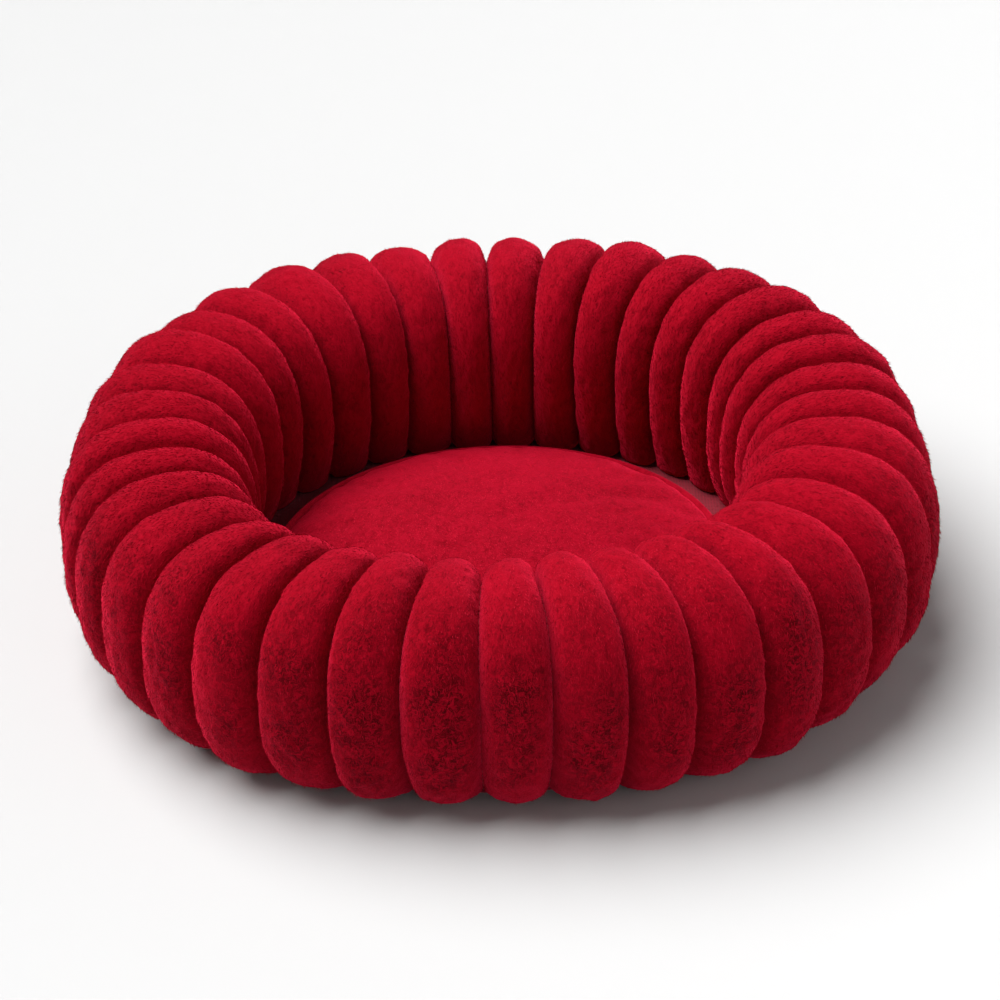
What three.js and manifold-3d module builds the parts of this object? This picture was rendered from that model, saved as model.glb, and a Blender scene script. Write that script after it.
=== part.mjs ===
// Round pet bed: a wall of stuffed plush ribs on a flat padded base, with a loose cushion inside.
// Millimetres, +Z up, front towards -Y. The origin is on the floor under the middle of the bed.
import * as THREE from "three";
import { mergeVertices } from "three/addons/utils/BufferGeometryUtils.js";
import Module from "manifold-3d";

const wasm = await Module();
wasm.setup();

// Driving dimensions
const outerDiameter = 600; // over the ribs
const wallHeight = 155; // floor to the top of the ribs
const wallWidth = 134; // the wall's own width, outside to inside
const wallRoundness = 2.55; // 2 is an ellipse, more is squarer
const ribCount = 37;
const firstSeamAngle = 4.5; // degrees from +X to the first seam between ribs
const ribDepth = 26; // plush channel, from its crown to the lining behind it
const ribEndDepth = 6; // the same where the channel is sewn down
const seamDepth = 10; // how far a seam lies below the crowns beside it
const outerEndAngle = 75; // degrees under the wall's widest line where the ribs stop outside
const liningThickness = 1.6;

const baseRim = 9; // from the outer ends of the ribs in to the edge of the base
const clothHeight = 2.8; // non-slip cloth with its raised dots
const waddingHeight = 10;
const topLiningThickness = 1.2;
const bindingThickness = 2.2;

const cushionGap = 5; // between the cushion and the narrowest part of the opening
const cushionEdgeHeight = 30;
const cushionCrown = 14; // how much higher the middle is than the edge
const coverThickness = 2.2;
const pipingDiameter = 7;

const zipLength = 300;
const tapeWidth = 13;
const tapeThickness = 0.8;
const toothPitch = 10;
const toothHeight = 2;
const toothWidth = 2.4;
const rowGap = 1.6; // between the two rows, where the slider's post runs
const slitWidth = 10; // opening in the cloth under the zip
const sliderLength = 12;
const sliderWidth = 7.4;
const plateThickness = 0.8;
const barSize = 0.8;
const barDrop = 1; // from the top of the slider's lower plate down to the bar
const sleeveSize = 1.6;
const sleeveHole = 1.16;
const sleeveLength = 4;
const pullLength = 22;
const pullWidth = 6;
const pullThickness = 1;
const stopLength = 3;
const tapeTail = 8; // tape beyond each stop
const slitTail = 6; // slit beyond the pull
const sliderSetback = 1; // from the end of the teeth to the slider, when closed
const barReach = 2.4; // from the slider's end to its bar
const postSetback = 2; // from the slider's start to its post
const postLength = 5;
const armWidth = 1;

const labelWidth = 26;
const labelLength = 40;
const labelThickness = 0.6;
const labelAngle = 112; // degrees from +X

const gap = 0.3; // between pieces that touch
const joinDepth = 0.1; // overlap of two shapes that are joined into one solid
const cutMargin = 1; // how far a cutting block runs past what it cuts

// Worked out from the driving dimensions
const degrees = Math.PI / 180;
const outerRadius = outerDiameter / 2;
const halfWidth = wallWidth / 2;
const halfHeight = wallHeight / 2;
const wallRadius = outerRadius - halfWidth; // middle of the wall's section
const pitch = (2 * Math.PI) / ribCount;
const openingRadius = outerRadius - wallWidth;

const materials = {
  plush: new THREE.MeshStandardMaterial({ color: "#a8001f", roughness: 0.95, metalness: 0 }),
  cushionPlush: new THREE.MeshStandardMaterial({ color: "#b3122c", roughness: 0.95, metalness: 0 }),
  piping: new THREE.MeshStandardMaterial({ color: "#8c0019", roughness: 0.9, metalness: 0 }),
  lining: new THREE.MeshStandardMaterial({ color: "#6d1420", roughness: 0.9, metalness: 0 }),
  fibre: new THREE.MeshStandardMaterial({ color: "#ecebe6", roughness: 1, metalness: 0 }),
  cloth: new THREE.MeshStandardMaterial({ color: "#3a0d14", roughness: 0.85, metalness: 0 }),
  tape: new THREE.MeshStandardMaterial({ color: "#4d0f19", roughness: 0.8, metalness: 0 }),
  nylon: new THREE.MeshStandardMaterial({ color: "#7d1022", roughness: 0.5, metalness: 0 }),
  metal: new THREE.MeshStandardMaterial({ color: "#9a9a9c", roughness: 0.35, metalness: 1 }),
  satin: new THREE.MeshStandardMaterial({ color: "#efece6", roughness: 0.6, metalness: 0 }),
};

const bed = new THREE.Group();

function addPiece(name, geometry, material, parent = bed) {
  const mesh = new THREE.Mesh(geometry, material);
  mesh.name = name;
  parent.add(mesh);
  return mesh;
}

// Levels of the base, from the floor up
const waddingBottom = clothHeight + gap;
const waddingTop = waddingBottom + waddingHeight;
const topLiningBottom = waddingTop + gap;
const baseTop = topLiningBottom + topLiningThickness;

// Signed power, for the rounded square section.
function roundPower(value) {
  return Math.sign(value) * Math.abs(value) ** (2 / wallRoundness);
}

// A point of the wall's section at an angle from its widest line outside, a depth below the crown.
function wallPoint(angle, depth) {
  return {
    r: wallRadius + (halfWidth - depth) * roundPower(Math.cos(angle)),
    z: halfHeight + (halfHeight - depth) * roundPower(Math.sin(angle)),
  };
}

// Outside, the ribs end under the wall. Inside, they end where they meet the top of the base.
const ribStart = -outerEndAngle * degrees;
const innerDrop = 1 - (baseTop + gap) / halfHeight;
const ribEnd = Math.PI + Math.asin(innerDrop ** (wallRoundness / 2));

// How full a channel is at a share of the way from its outer end (0) to its inner end (1).
function fullness(share) {
  return Math.max(Math.sin(Math.PI * share), 0) ** 0.6;
}

function channelDepth(share) {
  return ribEndDepth + (ribDepth - ribEndDepth) * fullness(share);
}

function wallAngle(share) {
  return ribStart + (ribEnd - ribStart) * share;
}

// Closed solid from rings of points: each ring is a list of [x, y, z], and the ends are capped.
function loft(rings) {
  const across = rings[0].length;
  const positions = rings.flat(2);
  const index = [];
  for (let i = 0; i + 1 < rings.length; i++) {
    for (let j = 0; j < across; j++) {
      const a = i * across + j;
      const b = i * across + ((j + 1) % across);
      index.push(a, b, b + across, a, b + across, a + across);
    }
  }
  const last = (rings.length - 1) * across;
  for (let j = 1; j + 1 < across; j++) {
    index.push(0, j + 1, j);
    index.push(last, last + j, last + j + 1);
  }
  const geometry = new THREE.BufferGeometry();
  geometry.setAttribute("position", new THREE.Float32BufferAttribute(positions, 3));
  geometry.setIndex(index);
  return geometry;
}

// Ribs: wedge-shaped stuffed channels with a crowned outside
const ribSteps = 11;
const crownPlaces = [-1, -0.6, 0, 0.6, 1]; // across a channel, in half pitches
const endSeam = 0.35; // share of the seam's depth that is left at the ends of a channel

function ribRing(share, middle) {
  const angle = wallAngle(share);
  const back = wallPoint(angle, channelDepth(share));
  const at = (point, place) => {
    const turn = middle + (place * pitch) / 2 - (place * gap) / 2 / point.r;
    return [point.r * Math.cos(turn), point.r * Math.sin(turn), point.z];
  };
  const crown = crownPlaces.map((place) => {
    const sink = (1 - Math.sqrt(1 - place * place)) * seamDepth * (endSeam + (1 - endSeam) * fullness(share));
    return at(wallPoint(angle, sink), place);
  });
  return [...crown, at(back, 1), at(back, -1)];
}

function makeRib(number) {
  const middle = firstSeamAngle * degrees + (number - 0.5) * pitch;
  const rings = [];
  for (let i = 0; i <= ribSteps; i++) rings.push(ribRing(i / ribSteps, middle));
  return loft(rings);
}

for (let number = 1; number <= ribCount; number++) {
  addPiece("rib_" + String(number).padStart(2, "0"), makeRib(number), materials.plush);
}

// A ring or disc turned about the middle of the bed, its facets in line with the ribs. The profile may
// run either way round: it is put anticlockwise, so that the faces point out.
function turned(profile) {
  const points = profile.map(([r, z]) => new THREE.Vector2(r, z));
  if (THREE.ShapeUtils.isClockWise(points)) points.reverse();
  const geometry = new THREE.LatheGeometry(points, ribCount, firstSeamAngle * degrees + Math.PI / 2);
  geometry.rotateX(Math.PI / 2);
  return geometry;
}


// Edge of the base, inside the outer ends of the ribs
const ribFoot = wallPoint(ribStart, ribEndDepth).r * Math.cos(pitch / 2);
const baseRadius = ribFoot - baseRim;
const panelRadius = baseRadius - bindingThickness - gap;

// Lining: the backing tube that the channels are sewn to, open underneath. Its stations are the ribs'.
function liningProfile() {
  const outside = [];
  const inside = [];
  for (let i = 0; i <= ribSteps; i++) {
    const share = i / ribSteps;
    const skin = wallPoint(wallAngle(share), channelDepth(share) + gap);
    const back = wallPoint(wallAngle(share), channelDepth(share) + gap + liningThickness);
    outside.push([skin.r, skin.z]);
    inside.push([back.r, back.z]);
  }
  return [...outside, ...inside.reverse(), outside[0]];
}
addPiece("bolster_lining", turned(liningProfile()), materials.lining);

// Filling: the ring of fibre inside the lining, standing on the base
function fillingProfile() {
  const floor = baseTop + gap;
  const points = [];
  for (let i = 0; i <= ribSteps; i++) {
    const share = i / ribSteps;
    const point = wallPoint(wallAngle(share), channelDepth(share) + liningThickness + 2 * gap);
    if (point.z > floor + gap) points.push([point.r, point.z]);
  }
  const innerFoot = points[points.length - 1][0];
  return [[panelRadius, floor], ...points, [innerFoot, floor], [panelRadius, floor]];
}
addPiece("bolster_filling", turned(fillingProfile()), materials.fibre);

// Base: padded floor panel with a bound edge
function disc(radius, bottom, top) {
  return turned([[0, bottom], [radius, bottom], [radius, top], [0, top]]);
}

function solidOf(geometry) {
  const bare = geometry.clone();
  for (const name of Object.keys(bare.attributes)) {
    if (name !== "position") bare.deleteAttribute(name);
  }
  const merged = mergeVertices(bare, 1e-4);
  const mesh = new wasm.Mesh({
    numProp: 3,
    vertProperties: new Float32Array(merged.attributes.position.array),
    triVerts: new Uint32Array(merged.index.array),
  });
  return new wasm.Manifold(mesh);
}

function geometryOf(solid) {
  const mesh = solid.getMesh();
  const positions = new Float32Array(mesh.numVert * 3);
  for (let i = 0; i < mesh.numVert; i++) {
    positions.set(mesh.vertProperties.subarray(i * mesh.numProp, i * mesh.numProp + 3), i * 3);
  }
  const geometry = new THREE.BufferGeometry();
  geometry.setAttribute("position", new THREE.BufferAttribute(positions, 3));
  geometry.setIndex(new THREE.BufferAttribute(new Uint32Array(mesh.triVerts), 1));
  return geometry;
}

// Box from its lowest to its highest corner
function block(low, high) {
  const size = high.map((value, i) => value - low[i]);
  const geometry = new THREE.BoxGeometry(...size);
  geometry.translate(low[0] + size[0] / 2, low[1] + size[1] / 2, low[2] + size[2] / 2);
  return geometry;
}

addPiece("base_top_lining", disc(panelRadius, topLiningBottom, baseTop), materials.lining);

// Zip levels: the tapes lie on the cloth, with the rows of teeth centred on them
const tapeBottom = clothHeight + gap;
const teethBottom = tapeBottom + tapeThickness / 2 - toothHeight / 2;
const teethTop = teethBottom + toothHeight;
const lowerPlateTop = teethBottom - gap;
const upperPlateBottom = teethTop + gap;
const upperPlateTop = upperPlateBottom + plateThickness;
const rowInside = rowGap / 2;
const rowOutside = rowInside + toothWidth;
const tapeInside = rowOutside + gap;
const tapeOutside = tapeInside + tapeWidth;

const zipRoom = block(
  [-panelRadius - cutMargin, -tapeOutside - gap, waddingBottom - cutMargin],
  [panelRadius + cutMargin, tapeOutside + gap, upperPlateTop + gap],
);
const wadding = solidOf(disc(panelRadius, waddingBottom, waddingTop)).subtract(solidOf(zipRoom));
addPiece("base_wadding", geometryOf(wadding), materials.fibre);

// Non-slip cloth in two halves that meet in a seam, with a slit for the zip between them
const slitHalf = zipLength / 2 + pullLength + slitTail;

function clothHalf(side) {
  const above = clothHeight + cutMargin;
  const beyond = panelRadius + cutMargin;
  const slit = block([-slitHalf, -slitWidth / 2, -cutMargin], [slitHalf, slitWidth / 2, above]);
  const other = block(
    [-beyond, side > 0 ? -beyond : -gap / 2, -cutMargin],
    [beyond, side > 0 ? gap / 2 : beyond, above],
  );
  return solidOf(disc(panelRadius, 0, clothHeight)).subtract(solidOf(other)).subtract(solidOf(slit));
}
addPiece("base_cloth_front", geometryOf(clothHalf(-1)), materials.cloth);
addPiece("base_cloth_rear", geometryOf(clothHalf(1)), materials.cloth);

const bindingInside = panelRadius + gap;
addPiece(
  "base_binding",
  turned([
    [bindingInside, gap],
    [baseRadius, gap],
    [baseRadius, baseTop],
    [bindingInside, baseTop],
    [bindingInside, gap],
  ]),
  materials.piping,
);

// Zip: tapes, teeth, stops, slider and pull. The closed end is towards +X.
const tapeHalf = zipLength / 2 + stopLength + tapeTail;

function zipTape(side) {
  const near = side > 0 ? tapeInside : -tapeOutside;
  return block([-tapeHalf, near, tapeBottom], [tapeHalf, near + tapeWidth, tapeBottom + tapeThickness]);
}

// A comb: a bar along the tape with teeth that point to the middle
function zipTeeth(side) {
  const shape = new THREE.Shape();
  const root = rowOutside - toothWidth * 0.4;
  const toothCount = Math.floor(zipLength / toothPitch);
  const start = (-toothCount * toothPitch) / 2;
  shape.moveTo(start, rowOutside);
  shape.lineTo(start, root);
  for (let i = 0; i < toothCount; i++) {
    const x = start + (i + 0.25) * toothPitch;
    shape.lineTo(x, root);
    shape.lineTo(x, rowInside);
    shape.lineTo(x + toothPitch / 2, rowInside);
    shape.lineTo(x + toothPitch / 2, root);
  }
  shape.lineTo(-start, root);
  shape.lineTo(-start, rowOutside);
  const geometry = new THREE.ExtrudeGeometry(shape, { depth: toothHeight, bevelEnabled: false });
  if (side < 0) geometry.rotateZ(Math.PI);
  geometry.translate(0, 0, teethBottom);
  return geometry;
}

const zip = new THREE.Group();
bed.add(zip);
addPiece("zip_tape_front", zipTape(-1), materials.tape, zip);
addPiece("zip_tape_rear", zipTape(1), materials.tape, zip);
addPiece("zip_teeth_front", zipTeeth(-1), materials.nylon, zip);
addPiece("zip_teeth_rear", zipTeeth(1), materials.nylon, zip);

// Stops are clips across both rows at the ends of the teeth.
function zipStop(end) {
  const near = end * (zipLength / 2 + gap);
  const far = near + end * stopLength;
  return block(
    [Math.min(near, far), -rowOutside, teethBottom],
    [Math.max(near, far), rowOutside, teethTop],
  );
}
addPiece("zip_top_stop", zipStop(1), materials.metal, zip);
addPiece("zip_bottom_stop", zipStop(-1), materials.metal, zip);

// Slider: two plates joined by a post between the rows, with a bar for the pull at its end
const sliderEnd = zipLength / 2 - sliderSetback;
const sliderStart = sliderEnd - sliderLength;
const barMiddle = sliderEnd + barReach;
const barLevel = lowerPlateTop - barDrop;

function zipSlider() {
  const lowerPlateBottom = lowerPlateTop - plateThickness;
  const half = sliderWidth / 2;
  const post = rowGap / 2 - gap;
  const lower = block([sliderStart, -half, lowerPlateBottom], [sliderEnd, half, lowerPlateTop]);
  const upper = block([sliderStart, -half, upperPlateBottom], [sliderEnd, half, upperPlateTop]);
  const web = block(
    [sliderStart + postSetback, -post, lowerPlateTop - joinDepth],
    [sliderStart + postSetback + postLength, post, upperPlateBottom + joinDepth],
  );
  const bar = block(
    [barMiddle - barSize / 2, -half, barLevel - barSize / 2],
    [barMiddle + barSize / 2, half, barLevel + barSize / 2],
  );
  const arm = (side) => block(
    [sliderEnd - armWidth, side > 0 ? half - armWidth : -half, lowerPlateBottom],
    [barMiddle + barSize / 2, side > 0 ? half : armWidth - half, barLevel + barSize / 2],
  );
  return solidOf(lower)
    .add(solidOf(upper))
    .add(solidOf(web))
    .add(solidOf(bar))
    .add(solidOf(arm(1)))
    .add(solidOf(arm(-1)));
}
addPiece("zip_slider", geometryOf(zipSlider()), materials.metal, zip);

// Pull: a sleeve that turns on the slider's bar, with a flat tab
function zipPull() {
  const half = sleeveSize / 2;
  const hole = sleeveHole / 2;
  const sleeve = block(
    [barMiddle - half, -sleeveLength / 2, barLevel - half],
    [barMiddle + half, sleeveLength / 2, barLevel + half],
  );
  const bore = block(
    [barMiddle - hole, -sleeveLength, barLevel - hole],
    [barMiddle + hole, sleeveLength, barLevel + hole],
  );
  const tab = block(
    [barMiddle + half - joinDepth, -pullWidth / 2, barLevel - pullThickness / 2],
    [barMiddle + half + pullLength, pullWidth / 2, barLevel + pullThickness / 2],
  );
  return solidOf(sleeve).add(solidOf(tab)).subtract(solidOf(bore));
}
addPiece("zip_pull", geometryOf(zipPull()), materials.metal, zip);

// Label sewn under the edge, lying flat on the floor below the ribs
const labelHolder = new THREE.Group();
labelHolder.rotation.z = labelAngle * degrees;
bed.add(labelHolder);
addPiece(
  "care_label",
  block(
    [baseRadius + gap, -labelWidth / 2, gap],
    [baseRadius + gap + labelLength, labelWidth / 2, gap + labelThickness],
  ),
  materials.satin,
  labelHolder,
);

// Cushion: top and bottom covers over a filling, with piping round the edge
const cushionRadius = openingRadius * Math.cos(pitch / 2) - cushionGap;
const coverRadius = cushionRadius - pipingDiameter - gap;
const cushionBottom = baseTop + gap;
const seamLevel = cushionBottom + cushionEdgeHeight / 2;
const coverSteps = 5;

// Height of a cover above or below the seam, from the middle (0) to the edge (1)
function coverRise(share, rise) {
  return rise * (1 - share ** 3.2) ** 0.55;
}

// Half of the cushion as a shell: side is 1 for the top cover and -1 for the bottom cover.
function coverProfile(side, rise, crown) {
  const shape = (share, inset) => {
    const lift = coverRise(share, rise - inset) + crown * (1 - share * share);
    return [share * (coverRadius - inset), seamLevel + side * (gap / 2 + lift)];
  };
  const outside = [];
  const inside = [];
  for (let i = 0; i <= coverSteps; i++) {
    const share = Math.sin((Math.PI / 2) * (i / coverSteps));
    outside.push(shape(share, 0));
    inside.push(shape(share, coverThickness));
  }
  return [...outside, ...inside.reverse()];
}

const halfEdge = cushionEdgeHeight / 2;

function fillingCushion() {
  const inset = coverThickness + gap;
  const upper = [];
  const lower = [];
  for (let i = 0; i <= coverSteps; i++) {
    const share = Math.sin((Math.PI / 2) * (i / coverSteps));
    const r = share * (coverRadius - inset);
    const top = coverRise(share, halfEdge - inset) + cushionCrown * (1 - share * share);
    upper.push([r, seamLevel + top]);
    lower.push([r, seamLevel - coverRise(share, halfEdge - inset)]);
  }
  upper.pop();
  return [...lower, ...upper.reverse()];
}

function pipingProfile() {
  const points = [];
  const sides = 6;
  const radius = pipingDiameter / 2;
  for (let i = 0; i <= sides; i++) {
    const turn = (2 * Math.PI * i) / sides;
    points.push([
      cushionRadius - pipingDiameter / 2 + radius * Math.cos(turn),
      seamLevel + radius * Math.sin(turn),
    ]);
  }
  return points;
}

const cushion = new THREE.Group();
bed.add(cushion);

function addCushionPiece(name, profile, material) {
  addPiece(name, turned(profile), material, cushion);
}
addCushionPiece("cushion_top_cover", coverProfile(1, halfEdge, cushionCrown), materials.cushionPlush);
addCushionPiece("cushion_bottom_cover", coverProfile(-1, halfEdge, 0), materials.cushionPlush);
addCushionPiece("cushion_filling", fillingCushion(), materials.fibre);
addCushionPiece("cushion_piping", pipingProfile(), materials.piping);

export default bed;
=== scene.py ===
import math
import random

import bmesh
import bpy
import numpy as np
from mathutils import Matrix, Vector, noise
from mathutils.bvhtree import BVHTree


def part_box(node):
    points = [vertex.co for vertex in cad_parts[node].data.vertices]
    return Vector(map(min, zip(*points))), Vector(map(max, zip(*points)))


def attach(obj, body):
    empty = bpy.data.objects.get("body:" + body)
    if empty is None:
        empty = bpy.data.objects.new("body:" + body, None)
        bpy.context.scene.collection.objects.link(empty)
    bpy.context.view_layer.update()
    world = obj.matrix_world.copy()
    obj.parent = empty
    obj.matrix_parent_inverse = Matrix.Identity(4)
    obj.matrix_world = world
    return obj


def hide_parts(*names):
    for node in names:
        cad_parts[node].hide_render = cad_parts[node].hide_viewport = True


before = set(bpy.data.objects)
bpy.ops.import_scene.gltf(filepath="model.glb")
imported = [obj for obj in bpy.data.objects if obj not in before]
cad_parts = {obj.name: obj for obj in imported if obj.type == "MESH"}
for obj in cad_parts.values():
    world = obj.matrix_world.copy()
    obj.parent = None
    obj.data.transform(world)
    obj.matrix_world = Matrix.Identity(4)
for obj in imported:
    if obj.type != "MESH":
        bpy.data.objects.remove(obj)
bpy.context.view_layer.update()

scene = bpy.context.scene
scene.view_settings.view_transform = "Standard"
scene.view_settings.look = "None"

# Sizes taken from the frame, in metres
ribNames = sorted(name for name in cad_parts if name.startswith("rib_"))
ribCount = len(ribNames)
pitch = 2 * math.pi / ribCount


def nodePoints(name):
    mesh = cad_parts[name].data
    points = np.zeros(len(mesh.vertices) * 3)
    mesh.vertices.foreach_get("co", points)
    return points.reshape(-1, 3)


def ribMiddle(name):
    points = nodePoints(name)
    return math.atan2(points[:, 1].mean(), points[:, 0].mean())


firstMiddle = ribMiddle(ribNames[0])
ribReach = np.hypot(*nodePoints(ribNames[0])[:, :2].T)
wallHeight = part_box(ribNames[0])[1].z
outerRadius = ribReach.max()
openingRadius = ribReach.min()
halfWidth = (outerRadius - openingRadius) / 2
halfHeight = wallHeight / 2
wallRadius = outerRadius - halfWidth
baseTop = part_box("base_top_lining")[1].z
print("frame read:", ribCount, "ribs, outer radius", round(outerRadius, 4))


def meshObject(name, points, faces, smooth=True):
    mesh = bpy.data.meshes.new(name)
    mesh.from_pydata([tuple(p) for p in points], [], [tuple(f) for f in faces])
    mesh.validate()
    mesh.update()
    for polygon in mesh.polygons:
        polygon.use_smooth = smooth
    made = bpy.data.objects.new(name, mesh)
    scene.collection.objects.link(made)
    return made


def smoothFaces(made):
    for polygon in made.data.polygons:
        polygon.use_smooth = True


def smoothNoise(point, scale, seed=0.0):
    return noise.noise(Vector((point[0] / scale + seed, point[1] / scale, point[2] / scale)))


def easeIn(value, reach):
    value = min(max(value / reach, 0.0), 1.0)
    return value * value * (3 - 2 * value)


# Geometry Nodes: a tree with named sizes, and its result as a plain mesh
def newTree(name, sizes):
    tree = bpy.data.node_groups.new(name, "GeometryNodeTree")
    tree.interface.new_socket("Geometry", in_out="INPUT", socket_type="NodeSocketGeometry")
    for label, value in sizes.items():
        kind = "Material" if value is None else type(value).__name__.capitalize()
        socket = tree.interface.new_socket(label, in_out="INPUT", socket_type="NodeSocket" + kind)
        if value is not None:
            socket.default_value = value
    tree.interface.new_socket("Geometry", in_out="OUTPUT", socket_type="NodeSocketGeometry")
    return tree, tree.nodes.new("NodeGroupInput").outputs, tree.nodes.new("NodeGroupOutput").inputs


# The end of a tree: copies made real, painted and handed out
def closeTree(tree, last, given, result):
    loose = tree.nodes.new("GeometryNodeRealizeInstances")
    tree.links.new(last, loose.inputs["Geometry"])
    paint = tree.nodes.new("GeometryNodeSetMaterial")
    tree.links.new(loose.outputs[0], paint.inputs["Geometry"])
    tree.links.new(given["Material"], paint.inputs["Material"])
    tree.links.new(paint.outputs[0], result["Geometry"])
    return tree


def growNodes(made, tree, values):
    modifier = made.modifiers.new(tree.name, "NODES")
    modifier.node_group = tree
    for item in tree.interface.items_tree:
        if item.item_type == "SOCKET" and item.in_out == "INPUT" and item.name in values:
            modifier[item.identifier] = values[item.name]
    ready = made.evaluated_get(bpy.context.evaluated_depsgraph_get())
    grown = bpy.data.meshes.new_from_object(ready)
    made.modifiers.remove(modifier)
    made.data = grown
    return made


def mathNode(tree, operation, first, second):
    node = tree.nodes.new("ShaderNodeMath")
    node.operation = operation
    for socket, value in zip(node.inputs, (first, second)):
        if isinstance(value, (int, float)):
            socket.default_value = value
        else:
            tree.links.new(value, socket)
    return node.outputs[0]


def vectorNode(tree, operation, first, second):
    node = tree.nodes.new("ShaderNodeVectorMath")
    node.operation = operation
    tree.links.new(first, node.inputs[0])
    target = node.inputs["Scale"] if operation == "SCALE" else node.inputs[1]
    if isinstance(second, (int, float)):
        target.default_value = second
    elif isinstance(second, tuple):
        target.default_value = second
    else:
        tree.links.new(second, target)
    return node.outputs[0]


def randomNode(tree, kind, low, high, seed):
    node = tree.nodes.new("FunctionNodeRandomValue")
    node.data_type = kind
    first = 0 if kind == "FLOAT_VECTOR" else 2
    node.inputs[first].default_value = low
    node.inputs[first + 1].default_value = high
    tree.links.new(seed, node.inputs["Seed"])
    return node.outputs[0 if kind == "FLOAT_VECTOR" else 1]


def newMaterial(name):
    material = bpy.data.materials.new(name)
    material.use_nodes = True
    tree = material.node_tree
    return material, tree, tree.nodes["Principled BSDF"]


def addNode(tree, kind, **values):
    node = tree.nodes.new(kind)
    for key, value in values.items():
        if hasattr(node, key):
            setattr(node, key, value)
        else:
            node.inputs[key.replace("_", " ")].default_value = value
    return node


def ramp(tree, source, stops):
    node = tree.nodes.new("ShaderNodeValToRGB")
    elements = node.color_ramp.elements
    while len(elements) < len(stops):
        elements.new(0.5)
    for element, (place, colour) in zip(elements, stops):
        element.position = place
        element.color = (*colour, 1)
    tree.links.new(source, node.inputs[0])
    return node.outputs[0]


plushLook = {
    "deep": (0.13, 0.0, 0.003),
    "body": (0.245, 0.0002, 0.007),
    "tip": (0.31, 0.0005, 0.010),
    # painted shade: the dark colour between parted tufts on the rib's outer face
    "root": (0.045, 0.0, 0.001),
    "clumpScale": 290.0,  # tufts a metre
    "curlScale": 250.0,
    "streakScale": 640.0,
    "sheen": 0.9,
    "sheenTint": (1.0, 0.022, 0.075),
    "bump": 0.30,
}


# Plush: tufts lying along the piece's own map, with lighter tips at random, and on the band of mussed nap a
# dark colour between parted tufts, painted shade on the rib's outer face
def plushMaterial(name, look, stretch=(1.0, 0.35, 1.0)):
    material, tree, shader = newMaterial(name)
    link = tree.links.new
    place = addNode(tree, "ShaderNodeTexCoord")
    flow = addNode(tree, "ShaderNodeAttribute", attribute_name="pileMap")
    warp = addNode(tree, "ShaderNodeTexNoise", Scale=look["clumpScale"] * 0.6, Detail=2.0, Roughness=0.5)
    link(place.outputs["Object"], warp.inputs["Vector"])
    spread = addNode(tree, "ShaderNodeVectorMath", operation="SCALE")
    link(warp.outputs["Color"], spread.inputs[0])
    spread.inputs["Scale"].default_value = 0.012
    moved = addNode(tree, "ShaderNodeVectorMath", operation="ADD")
    link(flow.outputs["Vector"], moved.inputs[0])
    link(spread.outputs[0], moved.inputs[1])
    lay = addNode(tree, "ShaderNodeMapping")
    lay.inputs["Scale"].default_value = stretch
    link(moved.outputs[0], lay.inputs["Vector"])
    tufts = addNode(tree, "ShaderNodeTexNoise", Scale=look["clumpScale"], Detail=3.0, Roughness=0.6)
    link(lay.outputs[0], tufts.inputs["Vector"])
    streaks = addNode(tree, "ShaderNodeTexNoise", Scale=look["streakScale"], Detail=3.0, Roughness=0.65)
    link(lay.outputs[0], streaks.inputs["Vector"])
    patches = addNode(tree, "ShaderNodeTexNoise", Scale=14.0, Detail=2.0, Roughness=0.5)
    link(place.outputs["Object"], patches.inputs["Vector"])
    both = addNode(tree, "ShaderNodeMix", data_type="FLOAT")
    both.inputs[0].default_value = 0.42
    link(tufts.outputs["Fac"], both.inputs[2])
    link(streaks.outputs["Fac"], both.inputs[3])
    shade = addNode(tree, "ShaderNodeMix", data_type="FLOAT")
    shade.inputs[0].default_value = 0.22
    link(both.outputs[0], shade.inputs[2])
    link(patches.outputs["Fac"], shade.inputs[3])
    colour = ramp(
        tree,
        shade.outputs[0],
        [(0.36, look["deep"]), (0.5, look["body"]), (0.66, look["tip"])],
    )
    # painted shade: on the band of mussed nap the dark colour is mixed in where the curls part
    ruffleShade = addNode(tree, "ShaderNodeAttribute", attribute_name="pileRuffleShade")
    curls = addNode(tree, "ShaderNodeTexNoise", Scale=look["curlScale"], Detail=4.0, Roughness=0.65)
    curls.inputs["Distortion"].default_value = 1.4
    link(moved.outputs[0], curls.inputs["Vector"])
    parted = addNode(tree, "ShaderNodeMapRange")
    parted.inputs["From Min"].default_value = 0.58
    parted.inputs["From Max"].default_value = 0.42
    link(curls.outputs["Fac"], parted.inputs["Value"])
    partedShadeMask = addNode(tree, "ShaderNodeMath", operation="MULTIPLY")
    link(parted.outputs[0], partedShadeMask.inputs[0])
    link(ruffleShade.outputs["Fac"], partedShadeMask.inputs[1])
    roots = addNode(tree, "ShaderNodeMix", data_type="RGBA")
    roots.inputs[7].default_value = (*look["root"], 1)
    link(partedShadeMask.outputs[0], roots.inputs[0])
    link(colour, roots.inputs[6])
    link(roots.outputs[2], shader.inputs["Base Color"])
    rough = addNode(tree, "ShaderNodeMapRange")
    rough.inputs["From Min"].default_value = 0.35
    rough.inputs["From Max"].default_value = 0.65
    rough.inputs["To Min"].default_value = 1.0
    rough.inputs["To Max"].default_value = 0.78
    link(both.outputs[0], rough.inputs["Value"])
    link(rough.outputs[0], shader.inputs["Roughness"])
    bump = addNode(tree, "ShaderNodeBump", Strength=look["bump"], Distance=0.004)
    link(both.outputs[0], bump.inputs["Height"])
    link(bump.outputs[0], shader.inputs["Normal"])
    shader.inputs["Specular IOR Level"].default_value = 0.04
    shader.inputs["Sheen Weight"].default_value = look["sheen"]
    shader.inputs["Sheen Roughness"].default_value = 0.45
    shader.inputs["Sheen Tint"].default_value = (*look["sheenTint"], 1)
    return material


clothLook = {"threads": 900.0, "bump": 0.35}


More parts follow.
